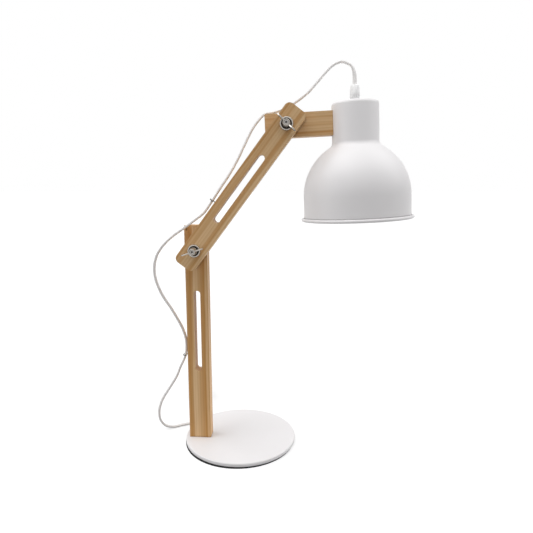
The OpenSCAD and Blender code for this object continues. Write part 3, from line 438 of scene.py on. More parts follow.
class Finish(Nodes):
    """A material with its nodes."""

    def __init__(self, name, roughness, metallic=0.0):
        self.material = bpy.data.materials.new(name)
        self.material.use_nodes = True
        super().__init__(self.material.node_tree)
        self.shader = self.tree.nodes["Principled BSDF"]
        self.fill(self.shader, {"Roughness": roughness, "Metallic": metallic})

    def moved(self, vector, **inputs):
        """Places turned, shifted or stretched by a Mapping node."""
        node = self.add("ShaderNodeMapping", {"Vector": vector, **inputs}, vector_type="POINT")
        return node.outputs["Vector"]

    def place(self, turn=0.0, shift=(0, 0, 0), scale=(1, 1, 1)):
        """Object coordinates, turned about Y, shifted and stretched."""
        coordinates = self.add("ShaderNodeTexCoord", {}).outputs["Object"]
        return self.moved(self.moved(coordinates, Rotation=(0, turn, 0), Location=shift), Scale=scale)

    def noise(self, vector, scale, detail, rough=0.55):
        """Soft random marks from 0 to 1."""
        inputs = {"Vector": vector, "Scale": scale, "Detail": detail, "Roughness": rough}
        return self.add("ShaderNodeTexNoise", inputs).outputs["Fac"]

    def span(self, value, start=(0, 1), end=(0, 1), interpolation="LINEAR"):
        """A value carried from one range to another."""
        inputs = {
            "Value": value, "From Min": start[0], "From Max": start[1], "To Min": end[0], "To Max": end[1]}
        return self.add("ShaderNodeMapRange", inputs, interpolation_type=interpolation).outputs["Result"]

    def across(self, turn, shift, width):
        """Place across a slat, 0 to 1, leaning with depth and wandering slowly along the slat."""
        parts = self.parts(self.place(turn, shift, (1, 0.4 / width, 1 / width)))
        wander = self.noise(self.place(turn, shift, (0.1, 0.5, 0.5)), 60, 1.5)
        leaning = self.reckon("ADD", parts["Z"], parts["Y"])
        return self.reckon("ADD", leaning, self.span(wander, end=(0.3, 0.7)))

    def along(self, turn, shift, drift):
        """Brightness that goes evenly from one place along a slat to another."""
        places, tones = zip(*drift)
        return self.span(self.parts(self.place(turn, shift))["X"], places, tones)

    def spot(self, value, turn, shift, place, tint):
        """Small dark spot at a place of the slat, longer along it; the place ends with the spot's radius."""
        along, depth, across, radius = place
        squeeze = 0.6
        where = self.moved(
            self.place(turn, shift), Location=(-squeeze * along, -depth, -across), Scale=(squeeze, 1, 1))
        reach = self.add("ShaderNodeVectorMath", {0: where}, operation="LENGTH").outputs["Value"]
        return self.mix(self.span(reach, (radius, 0.3 * radius), (0, 0.85), "SMOOTHSTEP"), value, tint)

    def ramp(self, value, stops):
        """Colours at given values, blended between them."""
        node = self.add("ShaderNodeValToRGB", {"Fac": value})
        while len(node.color_ramp.elements) < len(stops):
            node.color_ramp.elements.new(0.5)
        for element, (position, colour) in zip(node.color_ramp.elements, stops):
            element.position = position
            element.color = (*colour, 1)
        return node.outputs["Color"]

    def mix(self, factor, first, second, blend="MIX"):
        """Mixes two colours; each is an output or a plain colour, and the factor an output or a number."""
        first, second = (
            value if isinstance(value, bpy.types.NodeSocket) else (*value, 1) for value in (first, second))
        inputs = {0: factor, 6: first, 7: second}
        return self.add("ShaderNodeMix", inputs, data_type="RGBA", blend_type=blend).outputs[2]

    def openness(self, reach):
        """How open a place is, from 0 in a tight corner to 1 on a free face."""
        node = self.add("ShaderNodeAmbientOcclusion", {"Distance": reach}, samples=6)
        return self.span(node.outputs["AO"], (0.25, 0.9))

    def facing_up(self):
        """From 0 on faces that look down to 1 on faces that look up."""
        normal = self.add("ShaderNodeNewGeometry", {}).outputs["Normal"]
        return self.span(self.parts(normal)["Z"], (-0.8, 0.8))

    def colour(self, value):
        self.fill(self.shader, {"Base Color": value})

    def roughness(self, value, low, high):
        self.fill(self.shader, {"Roughness": self.span(value, end=(low, high))})

    def bump(self, value, depth, strength):
        node = self.add("ShaderNodeBump", {"Distance": depth, "Strength": strength, "Height": value})
        self.fill(self.shader, {"Normal": node.outputs["Normal"]})

    def cloud(self, weight, depth):
        """Light that spreads inside the piece to a depth, alike in every colour."""
        self.fill(self.shader, {
            "Subsurface Weight": weight, "Subsurface Radius": (1, 1, 1), "Subsurface Scale": depth})


def scaled(colour, share):
    return tuple(min(1.0, channel * share) for channel in colour)


def wood_finish(name, colours, turn, shift, stripes, drift, painted_cord_shadow):
    """Pine with a thin matt lacquer: broad stripes across the slat, thin growth lines about a distant pith,
    fine fibres, painted shade that darkens the corners where other pieces meet it, and a painted shadow of
    the cord as a small dark spot where one is given. Stripes are pairs of place across the slat, from 0 to 1,
    and darkness; drift is two pairs of place along the slat and brightness, which paints light and shade
    where it changes along the slat."""
    finish = Finish(name, 0.42)
    pale, dark = np.array(colours.wood_pale), np.array(colours.wood_dark)
    across = finish.across(turn, shift, SLAT_WIDTH)
    tone = finish.ramp(across, [(place, tuple(pale + (dark - pale) * share)) for place, share in stripes])
    pith = (shift[0], shift[1] + 21 * MM, shift[2] + 34 * MM)
    ring_settings = {"Scale": 105, "Distortion": 3.2, "Detail": 2.0, "Detail Scale": 0.6}
    lines = finish.add(
        "ShaderNodeTexWave", {"Vector": finish.place(turn, pith, (0.045, 1, 1)), **ring_settings},
        wave_type="RINGS", rings_direction="X", wave_profile="SAW")
    late = finish.ramp(lines.outputs["Fac"], [
        (0.0, (1, 1, 1)), (0.5, (0.985, 0.98, 0.97)), (0.86, (0.9, 0.85, 0.79)), (0.95, (0.82, 0.74, 0.64)),
        (1.0, (1, 1, 1))])
    grown = finish.mix(0.75, tone, late, "MULTIPLY")
    fibres = finish.noise(finish.place(turn, shift, (0.02, 1, 1)), 1000, 3, 0.6)
    fibre_tint = finish.ramp(fibres, [(0.3, (0.88, 0.86, 0.83)), (0.62, (1, 1, 1))])
    surface_tone = finish.mix(0.7, grown, fibre_tint, "MULTIPLY")
    # Painted light and shade: brightness that changes along the slat
    surface_tone = finish.mix(1.0, surface_tone, finish.along(turn, shift, drift), "MULTIPLY")
    # Painted shadow of the cord on the post: a small dark spot, longer along the slat
    if painted_cord_shadow:
        surface_tone = finish.spot(surface_tone, turn, shift, painted_cord_shadow, tuple(0.3 * dark))
    # Painted shade: the wood darkens where other pieces stand close to it
    corners = finish.ramp(finish.openness(4 * MM), [(0.0, (0.42, 0.36, 0.31)), (0.8, (1, 1, 1))])
    finish.colour(finish.mix(1.0, surface_tone, corners, "MULTIPLY"))
    finish.roughness(fibres, 0.38, 0.54)
    finish.bump(fibres, 0.1 * MM, 0.4)
    finish.fill(finish.shader, {"Specular IOR Level": 0.2})
    return finish.material


def paint_finish(name, colour):
    """Satin powder coat: white with a fine orange-peel surface, a faint drift of tone and painted shade that
    darkens its creases.
    """
    finish = Finish(name, 0.38)
    place = finish.place()
    peel = finish.noise(place, 1500, 2, 0.5)
    drift = finish.noise(place, 18, 2)
    tone = finish.ramp(drift, [(0.35, scaled(colour, 0.985)), (0.65, colour)])
    # Painted shade: darker in creases and where other pieces stand close
    painted_crease_shade = finish.ramp(finish.openness(2.5 * MM), [(0.0, (0.4, 0.4, 0.4)), (0.75, (1, 1, 1))])
    finish.colour(finish.mix(1.0, tone, painted_crease_shade, "MULTIPLY"))
    finish.roughness(peel, 0.34, 0.44)
    finish.bump(peel, 0.04 * MM, 0.35)
    return finish.material


def metal_finish(name, colour, low, high):
    """Plated metal: tone and roughness that drift over the surface, with painted shade that darkens its
    undersides and its corners and recesses."""
    finish = Finish(name, low, 1.0)
    marks = finish.noise(finish.place(), 700, 4, 0.6)
    plated = finish.ramp(marks, [(0.3, scaled(colour, 0.84)), (0.7, colour)])
    # Painted shade: faces that look down are darker
    painted_facing_shade = finish.mix(finish.facing_up(), scaled(colour, 0.32), plated)
    # Painted shade: darker in corners and recesses
    finish.colour(finish.mix(finish.openness(3 * MM), scaled(colour, 0.14), painted_facing_shade))
    finish.roughness(marks, low, high)
    finish.bump(marks, 0.03 * MM, 0.4)
    return finish.material


def plastic_finish(name, colour, roughness):
    """Moulded plastic: even colour with a fine moulded grain."""
    finish = Finish(name, roughness)
    grain = finish.noise(finish.place(), 1200, 2)
    finish.colour(finish.ramp(grain, [(0.3, scaled(colour, 0.97)), (0.7, colour)]))
    finish.roughness(grain, roughness - 0.05, roughness + 0.06)
    finish.bump(grain, 0.03 * MM, 0.3)
    return finish.material


def grip_finish(name):
    """Clouded nylon: nearly white, with light that spreads inside it and a fine moulded grain."""
    finish = Finish(name, 0.45)
    grain = finish.noise(finish.place(), 300, 2)
    finish.colour(finish.ramp(grain, [(0.3, (0.98, 0.98, 0.98)), (0.7, (0.995, 0.995, 0.995))]))
    finish.roughness(grain, 0.4, 0.5)
    finish.bump(grain, 0.03 * MM, 0.3)
    finish.cloud(1.0, 14 * MM)
    return finish.material


def cord_finish(name, colour):
    """Soft sleeve: nearly white and a little clouded, with faint handling marks and a dull shine."""
    finish = Finish(name, 0.5)
    marks = finish.noise(finish.place(), 90, 2)
    finish.colour(finish.ramp(marks, [(0.3, scaled(colour, 0.96)), (0.65, colour)]))
    finish.roughness(marks, 0.48, 0.58)
    finish.bump(marks, 0.05 * MM, 0.3)
    finish.cloud(0.5, 2 * MM)
    return finish.material


def pad_finish(name, colour):
    """Closed-cell foam: dark, dull and finely pitted."""
    finish = Finish(name, 0.9)
    pits = finish.noise(finish.place(), 2200, 3, 0.7)
    finish.colour(finish.ramp(pits, [(0.35, scaled(colour, 0.6)), (0.65, colour)]))
    finish.bump(pits, 0.1 * MM, 0.6)
    return finish.material


def fibre_finish(name, colour):
    """Pressed fibre: brown with short pale strands."""
    finish = Finish(name, 0.8)
    strands = finish.noise(finish.place(scale=(1, 1, 3)), 900, 4, 0.7)
    finish.colour(finish.ramp(strands, [(0.35, scaled(colour, 0.7)), (0.7, scaled(colour, 1.25))]))
    finish.bump(strands, 0.08 * MM, 0.5)
    return finish.material


# Finishes by name: the function that makes each, its colour's name and its roughness
FINISHES = {
    "white powder coat": (paint_finish, "paint"),
    "bright nickel": (metal_finish, "nickel", 0.16, 0.3),
    "zinc plate": (metal_finish, "zinc", 0.28, 0.45),
    "hook wire": (metal_finish, "wire", 0.2, 0.34),
    "brass": (metal_finish, "brass", 0.25, 0.42),
    "white plastic": (plastic_finish, "plastic", 0.34),
    "heat-proof plastic": (plastic_finish, "insert", 0.5),
    "white band": (plastic_finish, "band", 0.55),
    "cord sleeve": (cord_finish, "cord"),
    "dark foam": (pad_finish, "pad"),
    "pressed fibre": (fibre_finish, "fibre"),
}


def shared(context, name):
    """The finish of that name, made when it is first asked for."""
    make, colour, *roughness = FINISHES[name]
    tint = tuple(getattr(context.scene.desk_lamp_colours, colour))
    return bpy.data.materials.get(name) or make(name, tint, *roughness)


def ease(share):
    """Share from 0 to 1 that starts and ends level."""
    return (1 - np.cos(np.pi * share)) / 2


def hank_path(sizes):
    """Centre line of the hank and the way its width lies, in the line's own frame, with Y along the line.
    Each loop is a run, a half-circle fold, a run that climbs one layer and a fold back; the runs are drawn in
    at the waist by a cosine wave. From the waist to the far fold the cord turns from its edge onto its flat
    side, and the layers settle closer. The lead-in comes from the switch; the lead-out rises from the middle
    of the last far fold."""
    run, fold, leave = sizes.hank_run, sizes.hank_fold, sizes.hank_leave
    width, thickness, top = sizes.cord_width, sizes.cord_thickness, sizes.hank_loops - 1
    low, step = sizes.hank_lift + width / 2, width + sizes.hank_gap
    flat_low, flat_step = sizes.hank_flat_gap + thickness / 2, thickness + sizes.hank_flat_gap
    plug_z = low + top * step + width / 2 + sizes.plug_lift
    share = np.linspace(0, 1, 24, endpoint=False)
    half = fold - sizes.hank_draw * (1 - np.cos(2 * np.pi * share)) / 2
    turn = np.pi * share
    zero, one = np.zeros_like(share), np.ones_like(share)
    flat_share = 0.44
    settling = ease(np.clip(1 - (1 - share) / flat_share, 0, 1))
    rising = ease(np.clip(1 - share / flat_share, 0, 1))

    def height(level, flat):
        """Height of a layer's centre line, between its edge and its flat side."""
        return (1 - flat) * (low + level * step) + flat * (flat_low + level * flat_step)

    def points(x, y, z, outward_x, outward_y, flat):
        """Places beside the ways of the width there: upright on edge, outward on the flat side."""
        return np.stack((x, y, z, flat * outward_x, flat * outward_y, 1 - flat), axis=1)

    def climb(reach):
        """Height at a reach after the middle of the last far fold, on the way up to the plug."""
        begin = height(top, 1)
        return begin + (plug_z - begin) * ease(np.clip(reach / (np.pi * fold / 2 + leave), 0, 1))

    def loop(level):
        """The four stretches of one turn."""
        over = climb((turn - np.pi / 2) * fold) if level == top else height(level, one)
        return (
            points(-half, run * share, height(level, settling), -one, zero, settling),
            points(-fold * np.cos(turn), run + fold * np.sin(turn), over, -np.cos(turn), np.sin(turn), one),
            points(half, run * (1 - share), height(level + ease(share), rising), one, zero, rising),
            points(fold * np.cos(turn), -fold * np.sin(turn), height(level + 1, zero), zero, zero, zero))

    loops = [loop(level) for level in range(sizes.hank_loops)]
    joined = 6
    first = loops[0][0][joined]
    lead = fold + width
    entry_z = LOWER_ROUTE[-1][2] * MM
    s = np.concatenate(([0, 0], np.linspace(0, 1, 16, endpoint=False)))
    y = width - lead + (first[1] - width + lead) * s
    y[:2] = -lead, width / 2 - lead
    lead_in = points(first[0] * ease(s), y, entry_z + (first[2] - entry_z) * ease(s), 1, 0, 1 - ease(s))
    s = np.concatenate((np.linspace(0, 1, 17), [1]))
    y = run - leave * s
    y[-1] -= width
    z = climb(np.pi * fold / 2 + leave * s)
    lead_out = points(fold * (1 - ease(s)), y, z, 1, 0, np.ones_like(s))
    turns = [stretch for circuit in loops[1:-1] for stretch in circuit]
    line = np.concatenate((lead_in, loops[0][0][joined:], *loops[0][1:], *turns, *loops[-1][:2], lead_out))
    return line[:, :3], line[:, 3:]


class LAMP_OT_cords(bpy.types.Operator):
    """Lays the flat cord: two stretches over the pivots, one down to the switch, and the hank to the plug"""

    bl_idname = "desk_lamp.cords"
    bl_label = "Cords"

    def lay(self, context, name, path, sides):
        """Flat cord along a path, its width along given sides."""
        sizes = context.scene.desk_lamp_sizes
        section = flat_cord_section(sizes.cord_width, sizes.cord_thickness)
        piece = surface(name, tube(path, section, sides))
        piece.data.materials.append(shared(context, "cord sleeve"))
        return piece

    def stretch(self, context, name, route, side_from, side_to, turn_share):
        """One free stretch, its width turning from one side to another over a share of its length."""
        path = smooth_path(np.array(route) * MM, 2 * MM)
        share = np.clip(np.linspace(0, 1, len(path)) / turn_share, 0, 1)[:, None]
        sides = (1 - share) * np.array(side_from) + share * np.array(side_to)
        return self.lay(context, name, path, sides), path

    def hank(self, context, name):
        """The hank in line with the switch, at which the lower stretch ends."""
        end_x, end_y, _ = LOWER_ROUTE[-1]
        backwards = np.array((-math.sin(HANK_TURN), math.cos(HANK_TURN), 0))
        start = np.array((end_x, end_y, 0)) * MM + HANK_REACH * backwards
        spin = np.array(Matrix.Rotation(HANK_TURN, 3, "Z"))
        line, sides = hank_path(context.scene.desk_lamp_sizes)
        path = start + line @ spin.T
        return self.lay(context, name, path, sides @ spin.T), path

    def declare(self, context, piece, node, path, far_end, lay, with_pieces):
        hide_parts(node)

    def execute(self, context):
        across, deep, slanting = (1, 0, 0), (0, 1, 0), (-0.5, 0.85, 0)
        upper, path = self.stretch(context, "flat_cord_upper", UPPER_ROUTE, across, deep, 0.12)
        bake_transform(upper)
        self.declare(context, upper, "cord_upper", path, "object", "hanging", ())
        middle, path = self.stretch(context, "flat_cord_middle", MIDDLE_ROUTE, deep, deep, 1)
        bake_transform(middle)
        self.declare(context, middle, "cord_middle", path, "object", "hanging", ())
        lower, path = self.stretch(context, "flat_cord_lower", LOWER_ROUTE, deep, slanting, 0.5)
        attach(lower, "stand")
        switch = [bpy.data.objects[f"moulded_{node}"] for node in SWITCH_SHELLS]
        switch += [frame["nodes"][node] for node in ("switch_screws", "switch_contacts")]
        self.declare(context, lower, "cord_lower", path, "fitting", "loose", switch)
        hank, path = self.hank(context, "flat_cord_hank")
        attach(hank, "stand")
        plug = [bpy.data.objects[name] for name in ("moulded_plug", "round_pins", "cord_band")]
        self.declare(context, hank, "cord_hank", path, "plug", "coiled", plug)
        return {"FINISHED"}


class LAMP_OT_base(bpy.types.Operator):
    """Turns the painted base plate and the foam pad under it"""

    bl_idname = "desk_lamp.base"
    bl_label = "Base"

    def execute(self, context):
        sizes = context.scene.desk_lamp_sizes
        up, steps = (0, 0, 1), 192
        radius, low = sizes.base_radius, sizes.pad
        high = low + sizes.base_plate
        edge, under, pad_edge = sizes.base_edge, sizes.base_under, sizes.pad_edge
        plate = np.vstack((
            (0, high), arc((radius - edge, high - edge), edge, 90, 0, 8),
            arc((radius - under, low + under), under, 0, -90, 8), (0, low)))
        base = surface("painted_base", turned(plate, (0, 0, 0), up, steps))
        dress(base, "base_plate", shared(context, "white powder coat"))
        outer = radius - sizes.pad_inset
        pad = np.vstack((
            (0, low), (outer, low), arc((outer - pad_edge, pad_edge), pad_edge, 0, -90, 3), (0, 0)))
        foam = surface("foam_pad", turned(pad, sizes.pad_place, up, steps))
        dress(foam, "base_pad", shared(context, "dark foam"))
        return {"FINISHED"}


class LAMP_OT_slats(bpy.types.Operator):
    """Rounds the edges of the three wooden slats and gives each its grain"""

    bl_idname = "desk_lamp.slats"
    bl_label = "Slats"

    def slat(self, context, node, turn, middle, stripes, drift, painted_cord_shadow=None):
        """One slat, its grain turned to run along it from the middle of its lower end or its pivot."""
        shift = -np.array(Matrix.Rotation(turn, 3, "Y")) @ np.array((middle[0], 0, middle[2]))
        shift[1] = -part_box(node)[0].y
        colours = context.scene.desk_lamp_colours
        wood = wood_finish(f"lacquered wood {node}", colours, turn, tuple(shift), stripes, drift, painted_cord_shadow)
        dress_rounded(node, f"wooden_{node}", context.scene.desk_lamp_sizes.slat_edge, wood)

    def execute(self, context):
        low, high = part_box("post")
        foot = ((low.x + high.x) / 2, 0, 0)
        # Painted shadow of the cord near the post's top: its place along, depth, across and radius
        painted_cord_shadow = (293 * MM, 0.5 * MM, 11.5 * MM, 2.2 * MM)
        # Brightness along each slat: painted light that brightens the post towards its foot, painted shade
        # that darkens the swing arm towards its upper end, and an almost even darkening of the head arm
        post_painted_light = ((80 * MM, 1.1), (200 * MM, 0.96))
        arm_painted_shade = ((20 * MM, 0.98), (190 * MM, 0.85))
        head_drift = ((0, 0.86), (60 * MM, 0.88))
        self.slat(context, "post", math.radians(90), foot, POST_STRIPES, post_painted_light, painted_cord_shadow)
        self.slat(context, "swing_arm", ARM_RISE, LOWER_PIVOT, ARM_STRIPES, arm_painted_shade)
        self.slat(context, "head_arm", HEAD_RISE, UPPER_PIVOT, HEAD_STRIPES, head_drift)
        return {"FINISHED"}


class LAMP_OT_shade(bpy.types.Operator):
    """Turns the bell shade with its neck and rolled rim"""

    bl_idname = "desk_lamp.shade"
    bl_label = "Shade"

    def line(self, sizes, inset):
        """Half section of the shade at an inset: neck edge, hollow curve, bell curve and wall."""
        axis_r = sizes.bell_radius - sizes.bell_curve
        fillet_r = sizes.neck_radius + sizes.neck_fillet
        reach = sizes.bell_curve + sizes.neck_fillet
        fillet_h = sizes.bell_depth - math.sqrt(reach ** 2 - (fillet_r - axis_r) ** 2)
        turn = math.degrees(math.acos((fillet_r - axis_r) / reach))
        wall, wall_step = sizes.bell_radius - inset, 6 * MM
        return np.vstack((
            arc((sizes.neck_radius - sizes.neck_edge, sizes.neck_edge), sizes.neck_edge - inset, -90, 0, 10),
            arc((fillet_r, fillet_h), sizes.neck_fillet + inset, 180, 180 - turn, 12),
            arc((axis_r, sizes.bell_depth), sizes.bell_curve - inset, -turn, 0, 40),
            np.linspace((wall, sizes.bell_depth + wall_step), (wall, sizes.rim_depth - sizes.rim_radius), 6)))

    def execute(self, context):
        sizes = context.scene.desk_lamp_sizes
        low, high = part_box("head_arm")
        top = THREAD_MOUTH - sizes.thread_depth * DOWN_NECK
        top[1] = (low.y + high.y) / 2
        rim_at = sizes.bell_radius + sizes.rim_radius - sizes.rim_lap
        rolled = arc((rim_at, sizes.rim_depth), sizes.rim_radius, -160, 200, 40)[1:-8]
        hole = sizes.stem_radius + sizes.stem_gap
        profile = np.vstack((
            (hole, 0), self.line(sizes, 0), rolled, self.line(sizes, sizes.sheet)[::-1], (hole, sizes.sheet)))
        piece = surface("bell_shade", turned(profile, top, DOWN_NECK, 192), close_rows=True)
        dress(piece, "shade", shared(context, "white powder coat"))
        return {"FINISHED"}


class LAMP_OT_pivots(bpy.types.Operator):
    """Makes the pivots' washers, bolts and wing nuts"""

    bl_idname = "desk_lamp.pivots"
    bl_label = "Pivots"

    def washer(self, context, node, name):
        """Cup washer: a raised round rim about a sunk ring."""
        sizes = context.scene.desk_lamp_sizes
        low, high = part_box(node)
        middle = ((low.x + high.x) / 2, high.y, (low.z + high.z) / 2)
        thick = high.y - low.y
        sunk = 0.45 * thick
        hole, outer, edge = sizes.washer_hole, sizes.washer_radius, sizes.washer_edge
        inner = outer - sizes.washer_rim
        profile = rounded_profile([
            (hole, 0), (outer, 0), (outer, thick), (inner, thick), (inner - edge, sunk), (hole, sunk)], edge)
        piece = surface(name, turned(profile, middle, (0, -1, 0), 64), close_rows=True)
        dress(piece, node, shared(context, "bright nickel"))

    def execute(self, context):
        edge = context.scene.desk_lamp_sizes.metal_edge
        nickel, zinc = shared(context, "bright nickel"), shared(context, "zinc plate")
        for level in ("lower", "upper"):
            self.washer(context, f"{level}_front_washer", f"{level}_cup_washer")
            dress_rounded(f"{level}_wing_nut", f"{level}_winged_nut", edge, nickel)
            dress_rounded(f"{level}_bolt", f"{level}_pivot_bolt", edge, zinc)
            finish_nodes(zinc, f"{level}_back_washer")
            finish_nodes(shared(context, "pressed fibre"), f"{level}_friction_washer")
        finish_nodes(zinc, "post_screws", "head_screws")
        return {"FINISHED"}


class LAMP_OT_hooks(bpy.types.Operator):
    """Bends the two wire hooks that hold the cord"""

    bl_idname = "desk_lamp.hooks"
    bl_label = "Hooks"

    def hook(self, context, node, name, ring, inwards, along):
        """Round wire along a straight shank and then most of a circle about the cord."""
        sizes = context.scene.desk_lamp_sizes
        radius, shank_gap = sizes.hook_radius, 0.2 * MM
        inwards, along = np.array(inwards), np.array(along)
        across = np.cross(along, inwards)
        shank = np.linspace(sizes.hook_shank, radius + shank_gap, 10)[:, None] * inwards
        angle = np.radians(np.linspace(4, 292, 60))[:, None]
        bend = radius * (np.cos(angle) * inwards + np.sin(angle) * across)
        path = np.array(ring) * MM + np.vstack((shank, bend))
        angle = np.linspace(0, 2 * math.pi, 16, endpoint=False)
        section = sizes.hook_wire * np.stack((np.cos(angle), np.sin(angle)), axis=1)
        piece = surface(name, tube(path, section, np.broadcast_to(along, path.shape)))
        dress(piece, node, shared(context, "hook wire"))

    def execute(self, context):
        along_arm = (math.cos(ARM_RISE), 0, math.sin(ARM_RISE))
        into_arm = (math.sin(ARM_RISE), 0, -math.cos(ARM_RISE))
        self.hook(context, "arm_hook", "arm_cord_hook", UPPER_ROUTE[-1], into_arm, along_arm)
        self.hook(context, "post_hook", "post_cord_hook", LOWER_ROUTE[0], (1, 0, 0), (0, 0, 1))
        return {"FINISHED"}


class LAMP_OT_lampholder(bpy.types.Operator):
    """Makes the cord grip and the lampholder inside the neck"""

    bl_idname = "desk_lamp.lampholder"
    bl_label = "Lampholder"

    def execute(self, context):
        sizes = context.scene.desk_lamp_sizes
        dress_rounded("cord_grip", "moulded_cord_grip", sizes.grip_edge, grip_finish("clouded nylon"))
        for node in ("holder_cap", "holder_skirt"):
            dress_rounded(node, f"moulded_{node}", sizes.plastic_edge, shared(context, "white plastic"))
        finish_nodes(shared(context, "heat-proof plastic"), "holder_insert")
        self.thread(context)
        finish_nodes(shared(context, "brass"), "centre_contact", "terminal_screws")
        finish_nodes(shared(context, "zinc plate"), "grip_screw", "holder_locknut")
        return {"FINISHED"}

    def thread(self, context):
        """Rolled thread: a thin tube whose radius rises and falls along a helix, fading towards its ends."""
        dims = MOUNTS["lamp_thread"]["dims"]
        length, inner = dims["length_mm"] * MM, dims["r_mm"] * MM
        pitch, depth, sheet, fade_length = 3.62 * MM, 0.35 * MM, 0.4 * MM, 2 * MM
        height = np.linspace(0, length, 120)[:, None]
        angle = np.linspace(0, 2 * math.pi, 96, endpoint=False)[None, :]
        fade = np.clip(np.minimum(height, length - height) / fade_length, 0, 1)
        wave = depth * fade * np.sin(2 * math.pi * height / pitch - angle)
        side = np.cross((0, 1, 0), DOWN_NECK)
        round_way = np.cos(angle)[..., None] * side + np.sin(angle)[..., None] * np.array((0, 1, 0))
        up = THREAD_MOUTH - (length - height)[..., None] * DOWN_NECK

        def wall(radius):
            return up + (radius + wave)[..., None] * round_way

        shell = np.concatenate((wall(inner + depth), wall(inner + depth + sheet)[::-1]))
        dress(surface("rolled_thread", shell, close_rows=True), "thread_shell", shared(context, "brass"))


class LAMP_OT_switch(bpy.types.Operator):
    """Rounds and finishes the inline switch and the tie"""

    bl_idname = "desk_lamp.switch"
    bl_label = "Switch"

    def execute(self, context):
        sizes = context.scene.desk_lamp_sizes
        for node in SWITCH_SHELLS:
            dress_rounded(node, f"moulded_{node}", sizes.plastic_edge, shared(context, "white plastic"))
        dress_rounded("cord_tie", "cord_band", sizes.band_edge, shared(context, "white band"))
        finish_nodes(shared(context, "zinc plate"), "switch_screws")
        finish_nodes(shared(context, "brass"), "switch_contacts")
        return {"FINISHED"}


class LAMP_OT_plug(bpy.types.Operator):
    """Rounds and finishes the plug and its pins"""

    bl_idname = "desk_lamp.plug"
    bl_label = "Plug"

    def execute(self, context):
        sizes = context.scene.desk_lamp_sizes
        plastic, nickel = shared(context, "white plastic"), shared(context, "bright nickel")
        dress_rounded("plug_body", "moulded_plug", sizes.plug_edge, plastic, segments=4)
        dress_rounded("plug_pins", "round_pins", sizes.pin_edge, nickel)
        return {"FINISHED"}


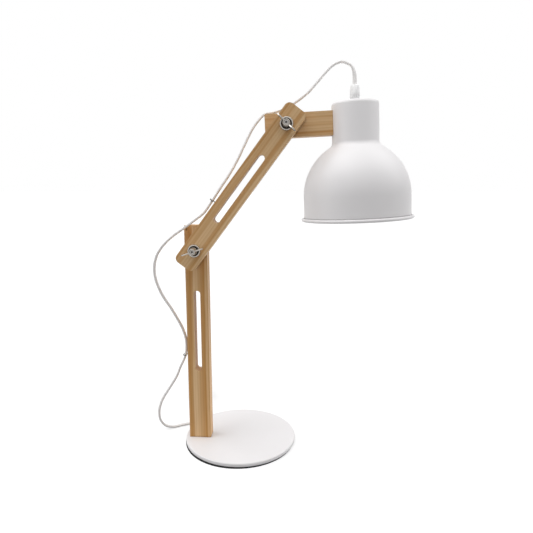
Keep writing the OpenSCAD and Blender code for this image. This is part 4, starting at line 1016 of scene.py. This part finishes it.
class LAMP_OT_stage(bpy.types.Operator):
    """Sets the floor, the lamps, the world and the camera"""

    bl_idname = "desk_lamp.stage"
    bl_label = "Stage"

    def add(self, context, name, data):
        """Object of a mesh, lamp or camera, in the scene."""
        thing = bpy.data.objects.new(name, data)
        context.scene.collection.objects.link(thing)
        return thing

    def camera(self, context, stage):
        data = bpy.data.cameras.new("camera")
        data.sensor_fit = "HORIZONTAL"
        data.sensor_width = 36
        data.angle = stage.camera_angle
        data.clip_start, data.clip_end = 0.01, 50
        camera = self.add(context, "camera", data)
        camera.location = stage.camera_place
        camera.rotation_euler = stage.camera_turn
        context.scene.camera = camera

    def floor(self, context, stage):
        """Plain floor: matt, with white added where the camera looks at it."""
        mesh = bpy.data.meshes.new("floor")
        half = 30.0
        corners = [(-half, -half, 0), (half, -half, 0), (half, half, 0), (-half, half, 0)]
        mesh.from_pydata(corners, [], [(0, 1, 2, 3)])
        floor = self.add(context, "floor", mesh)
        finish = Finish("plain floor", 0.9)
        finish.fill(finish.shader, {"Base Color": (*stage.floor, 1), "Specular IOR Level": 0.0})
        white = finish.reckon("MULTIPLY", finish.seen(), stage.floor_lift)
        glow = finish.add("ShaderNodeEmission", {"Strength": white})
        both = finish.add("ShaderNodeAddShader", {0: finish.shader.outputs[0], 1: glow.outputs[0]})
        finish.fill(finish.tree.nodes["Material Output"], {"Surface": both.outputs[0]})
        mesh.materials.append(finish.material)

    def sun(self, context, name, towards, strength):
        """Broad, distant lamp that shines from a given way."""
        data = bpy.data.lights.new(name, "SUN")
        data.angle = context.scene.desk_lamp_stage.sun_angle
        data.energy = strength
        lamp = self.add(context, name, data)
        lamp.rotation_euler = (-Vector(towards)).to_track_quat("-Z", "Y").to_euler()

    def panel(self, context, name, place, target, size, power):
        """Soft square lamp near the object, which the camera doesn't see."""
        data = bpy.data.lights.new(name, "AREA")
        data.size = size
        data.energy = power
        lamp = self.add(context, name, data)
        lamp.location = place
        lamp.rotation_euler = (Vector(target) - Vector(place)).to_track_quat("-Z", "Y").to_euler()
        lamp.visible_camera = False

    def world(self, context, stage):
        """Soft light that grows towards overhead and the sides and fades towards the front, and plain white
        where the camera or a shiny surface looks."""
        world = bpy.data.worlds.new("studio")
        world.use_nodes = True
        sky = Nodes(world.node_tree)
        x, y, z = sky.parts(sky.add("ShaderNodeTexCoord", {}).outputs["Generated"])
        rise, fade = stage.ambient_high - stage.ambient_low, 1 - stage.ambient_front
        height = sky.reckon("MULTIPLY_ADD", sky.reckon("MAXIMUM", z, 0.0), rise, stage.ambient_low)
        side = sky.reckon("MULTIPLY_ADD", sky.reckon("ABSOLUTE", x), stage.ambient_side, 1.0)
        ahead = sky.reckon("MULTIPLY_ADD", sky.reckon("MINIMUM", y, 0.0), fade, 1.0)
        light = sky.reckon("MULTIPLY", sky.reckon("MULTIPLY", height, side), ahead)
        strength = sky.add("ShaderNodeMix", {"Factor": sky.seen(), "A": light, "B": 1.0}).outputs["Result"]
        sky.fill(sky.tree.nodes["Background"], {"Strength": strength, "Color": (1, 1, 1, 1)})
        context.scene.world = world

    def execute(self, context):
        stage = context.scene.desk_lamp_stage
        self.camera(context, stage)
        self.floor(context, stage)
        self.world(context, stage)
        self.sun(context, "left light", towards=(-0.55, -0.08, 0.8), strength=1.3)
        self.sun(context, "right light", towards=(0.72, 0.0, 0.7), strength=0.95)
        self.panel(
            context, "top light", place=(0.1, -0.26, 0.76), target=(0.145, -0.03, 0.38), size=0.36,
            power=0.56)
        self.panel(
            context, "side light", place=(-0.55, -0.25, 0.3), target=(0.05, 0, 0.33), size=0.4, power=0.22)
        context.scene.view_settings.view_transform = "Standard"
        return {"FINISHED"}


OPERATORS = (
    LAMP_OT_base, LAMP_OT_slats, LAMP_OT_shade, LAMP_OT_pivots, LAMP_OT_hooks, LAMP_OT_lampholder,
    LAMP_OT_switch, LAMP_OT_plug, LAMP_OT_cords, LAMP_OT_stage,
)


class LAMP_PT_panel(bpy.types.Panel):
    """Lists the lamp's pieces in the sidebar"""

    bl_idname = "LAMP_PT_panel"
    bl_label = "Desk Lamp"
    bl_space_type = "VIEW_3D"
    bl_region_type = "UI"
    bl_category = "Desk Lamp"

    def draw(self, context):
        for operator in OPERATORS:
            self.layout.operator(operator.bl_idname)


CLASSES = (LampSizes, LampColours, LampStage, *OPERATORS, LAMP_PT_panel)


def register():
    for cls in CLASSES:
        bpy.utils.register_class(cls)
    bpy.types.Scene.desk_lamp_sizes = PointerProperty(type=LampSizes)
    bpy.types.Scene.desk_lamp_colours = PointerProperty(type=LampColours)
    bpy.types.Scene.desk_lamp_stage = PointerProperty(type=LampStage)


def unregister():
    del bpy.types.Scene.desk_lamp_stage
    del bpy.types.Scene.desk_lamp_colours
    del bpy.types.Scene.desk_lamp_sizes
    for cls in reversed(CLASSES):
        bpy.utils.unregister_class(cls)


def main():
    register()
    bpy.ops.desk_lamp.base()
    bpy.ops.desk_lamp.slats()
    bpy.ops.desk_lamp.shade()
    bpy.ops.desk_lamp.pivots()
    bpy.ops.desk_lamp.hooks()
    bpy.ops.desk_lamp.lampholder()
    bpy.ops.desk_lamp.switch()
    bpy.ops.desk_lamp.plug()
    bpy.ops.desk_lamp.cords()
    bpy.ops.desk_lamp.stage()


if __name__ == "__main__":
    main()
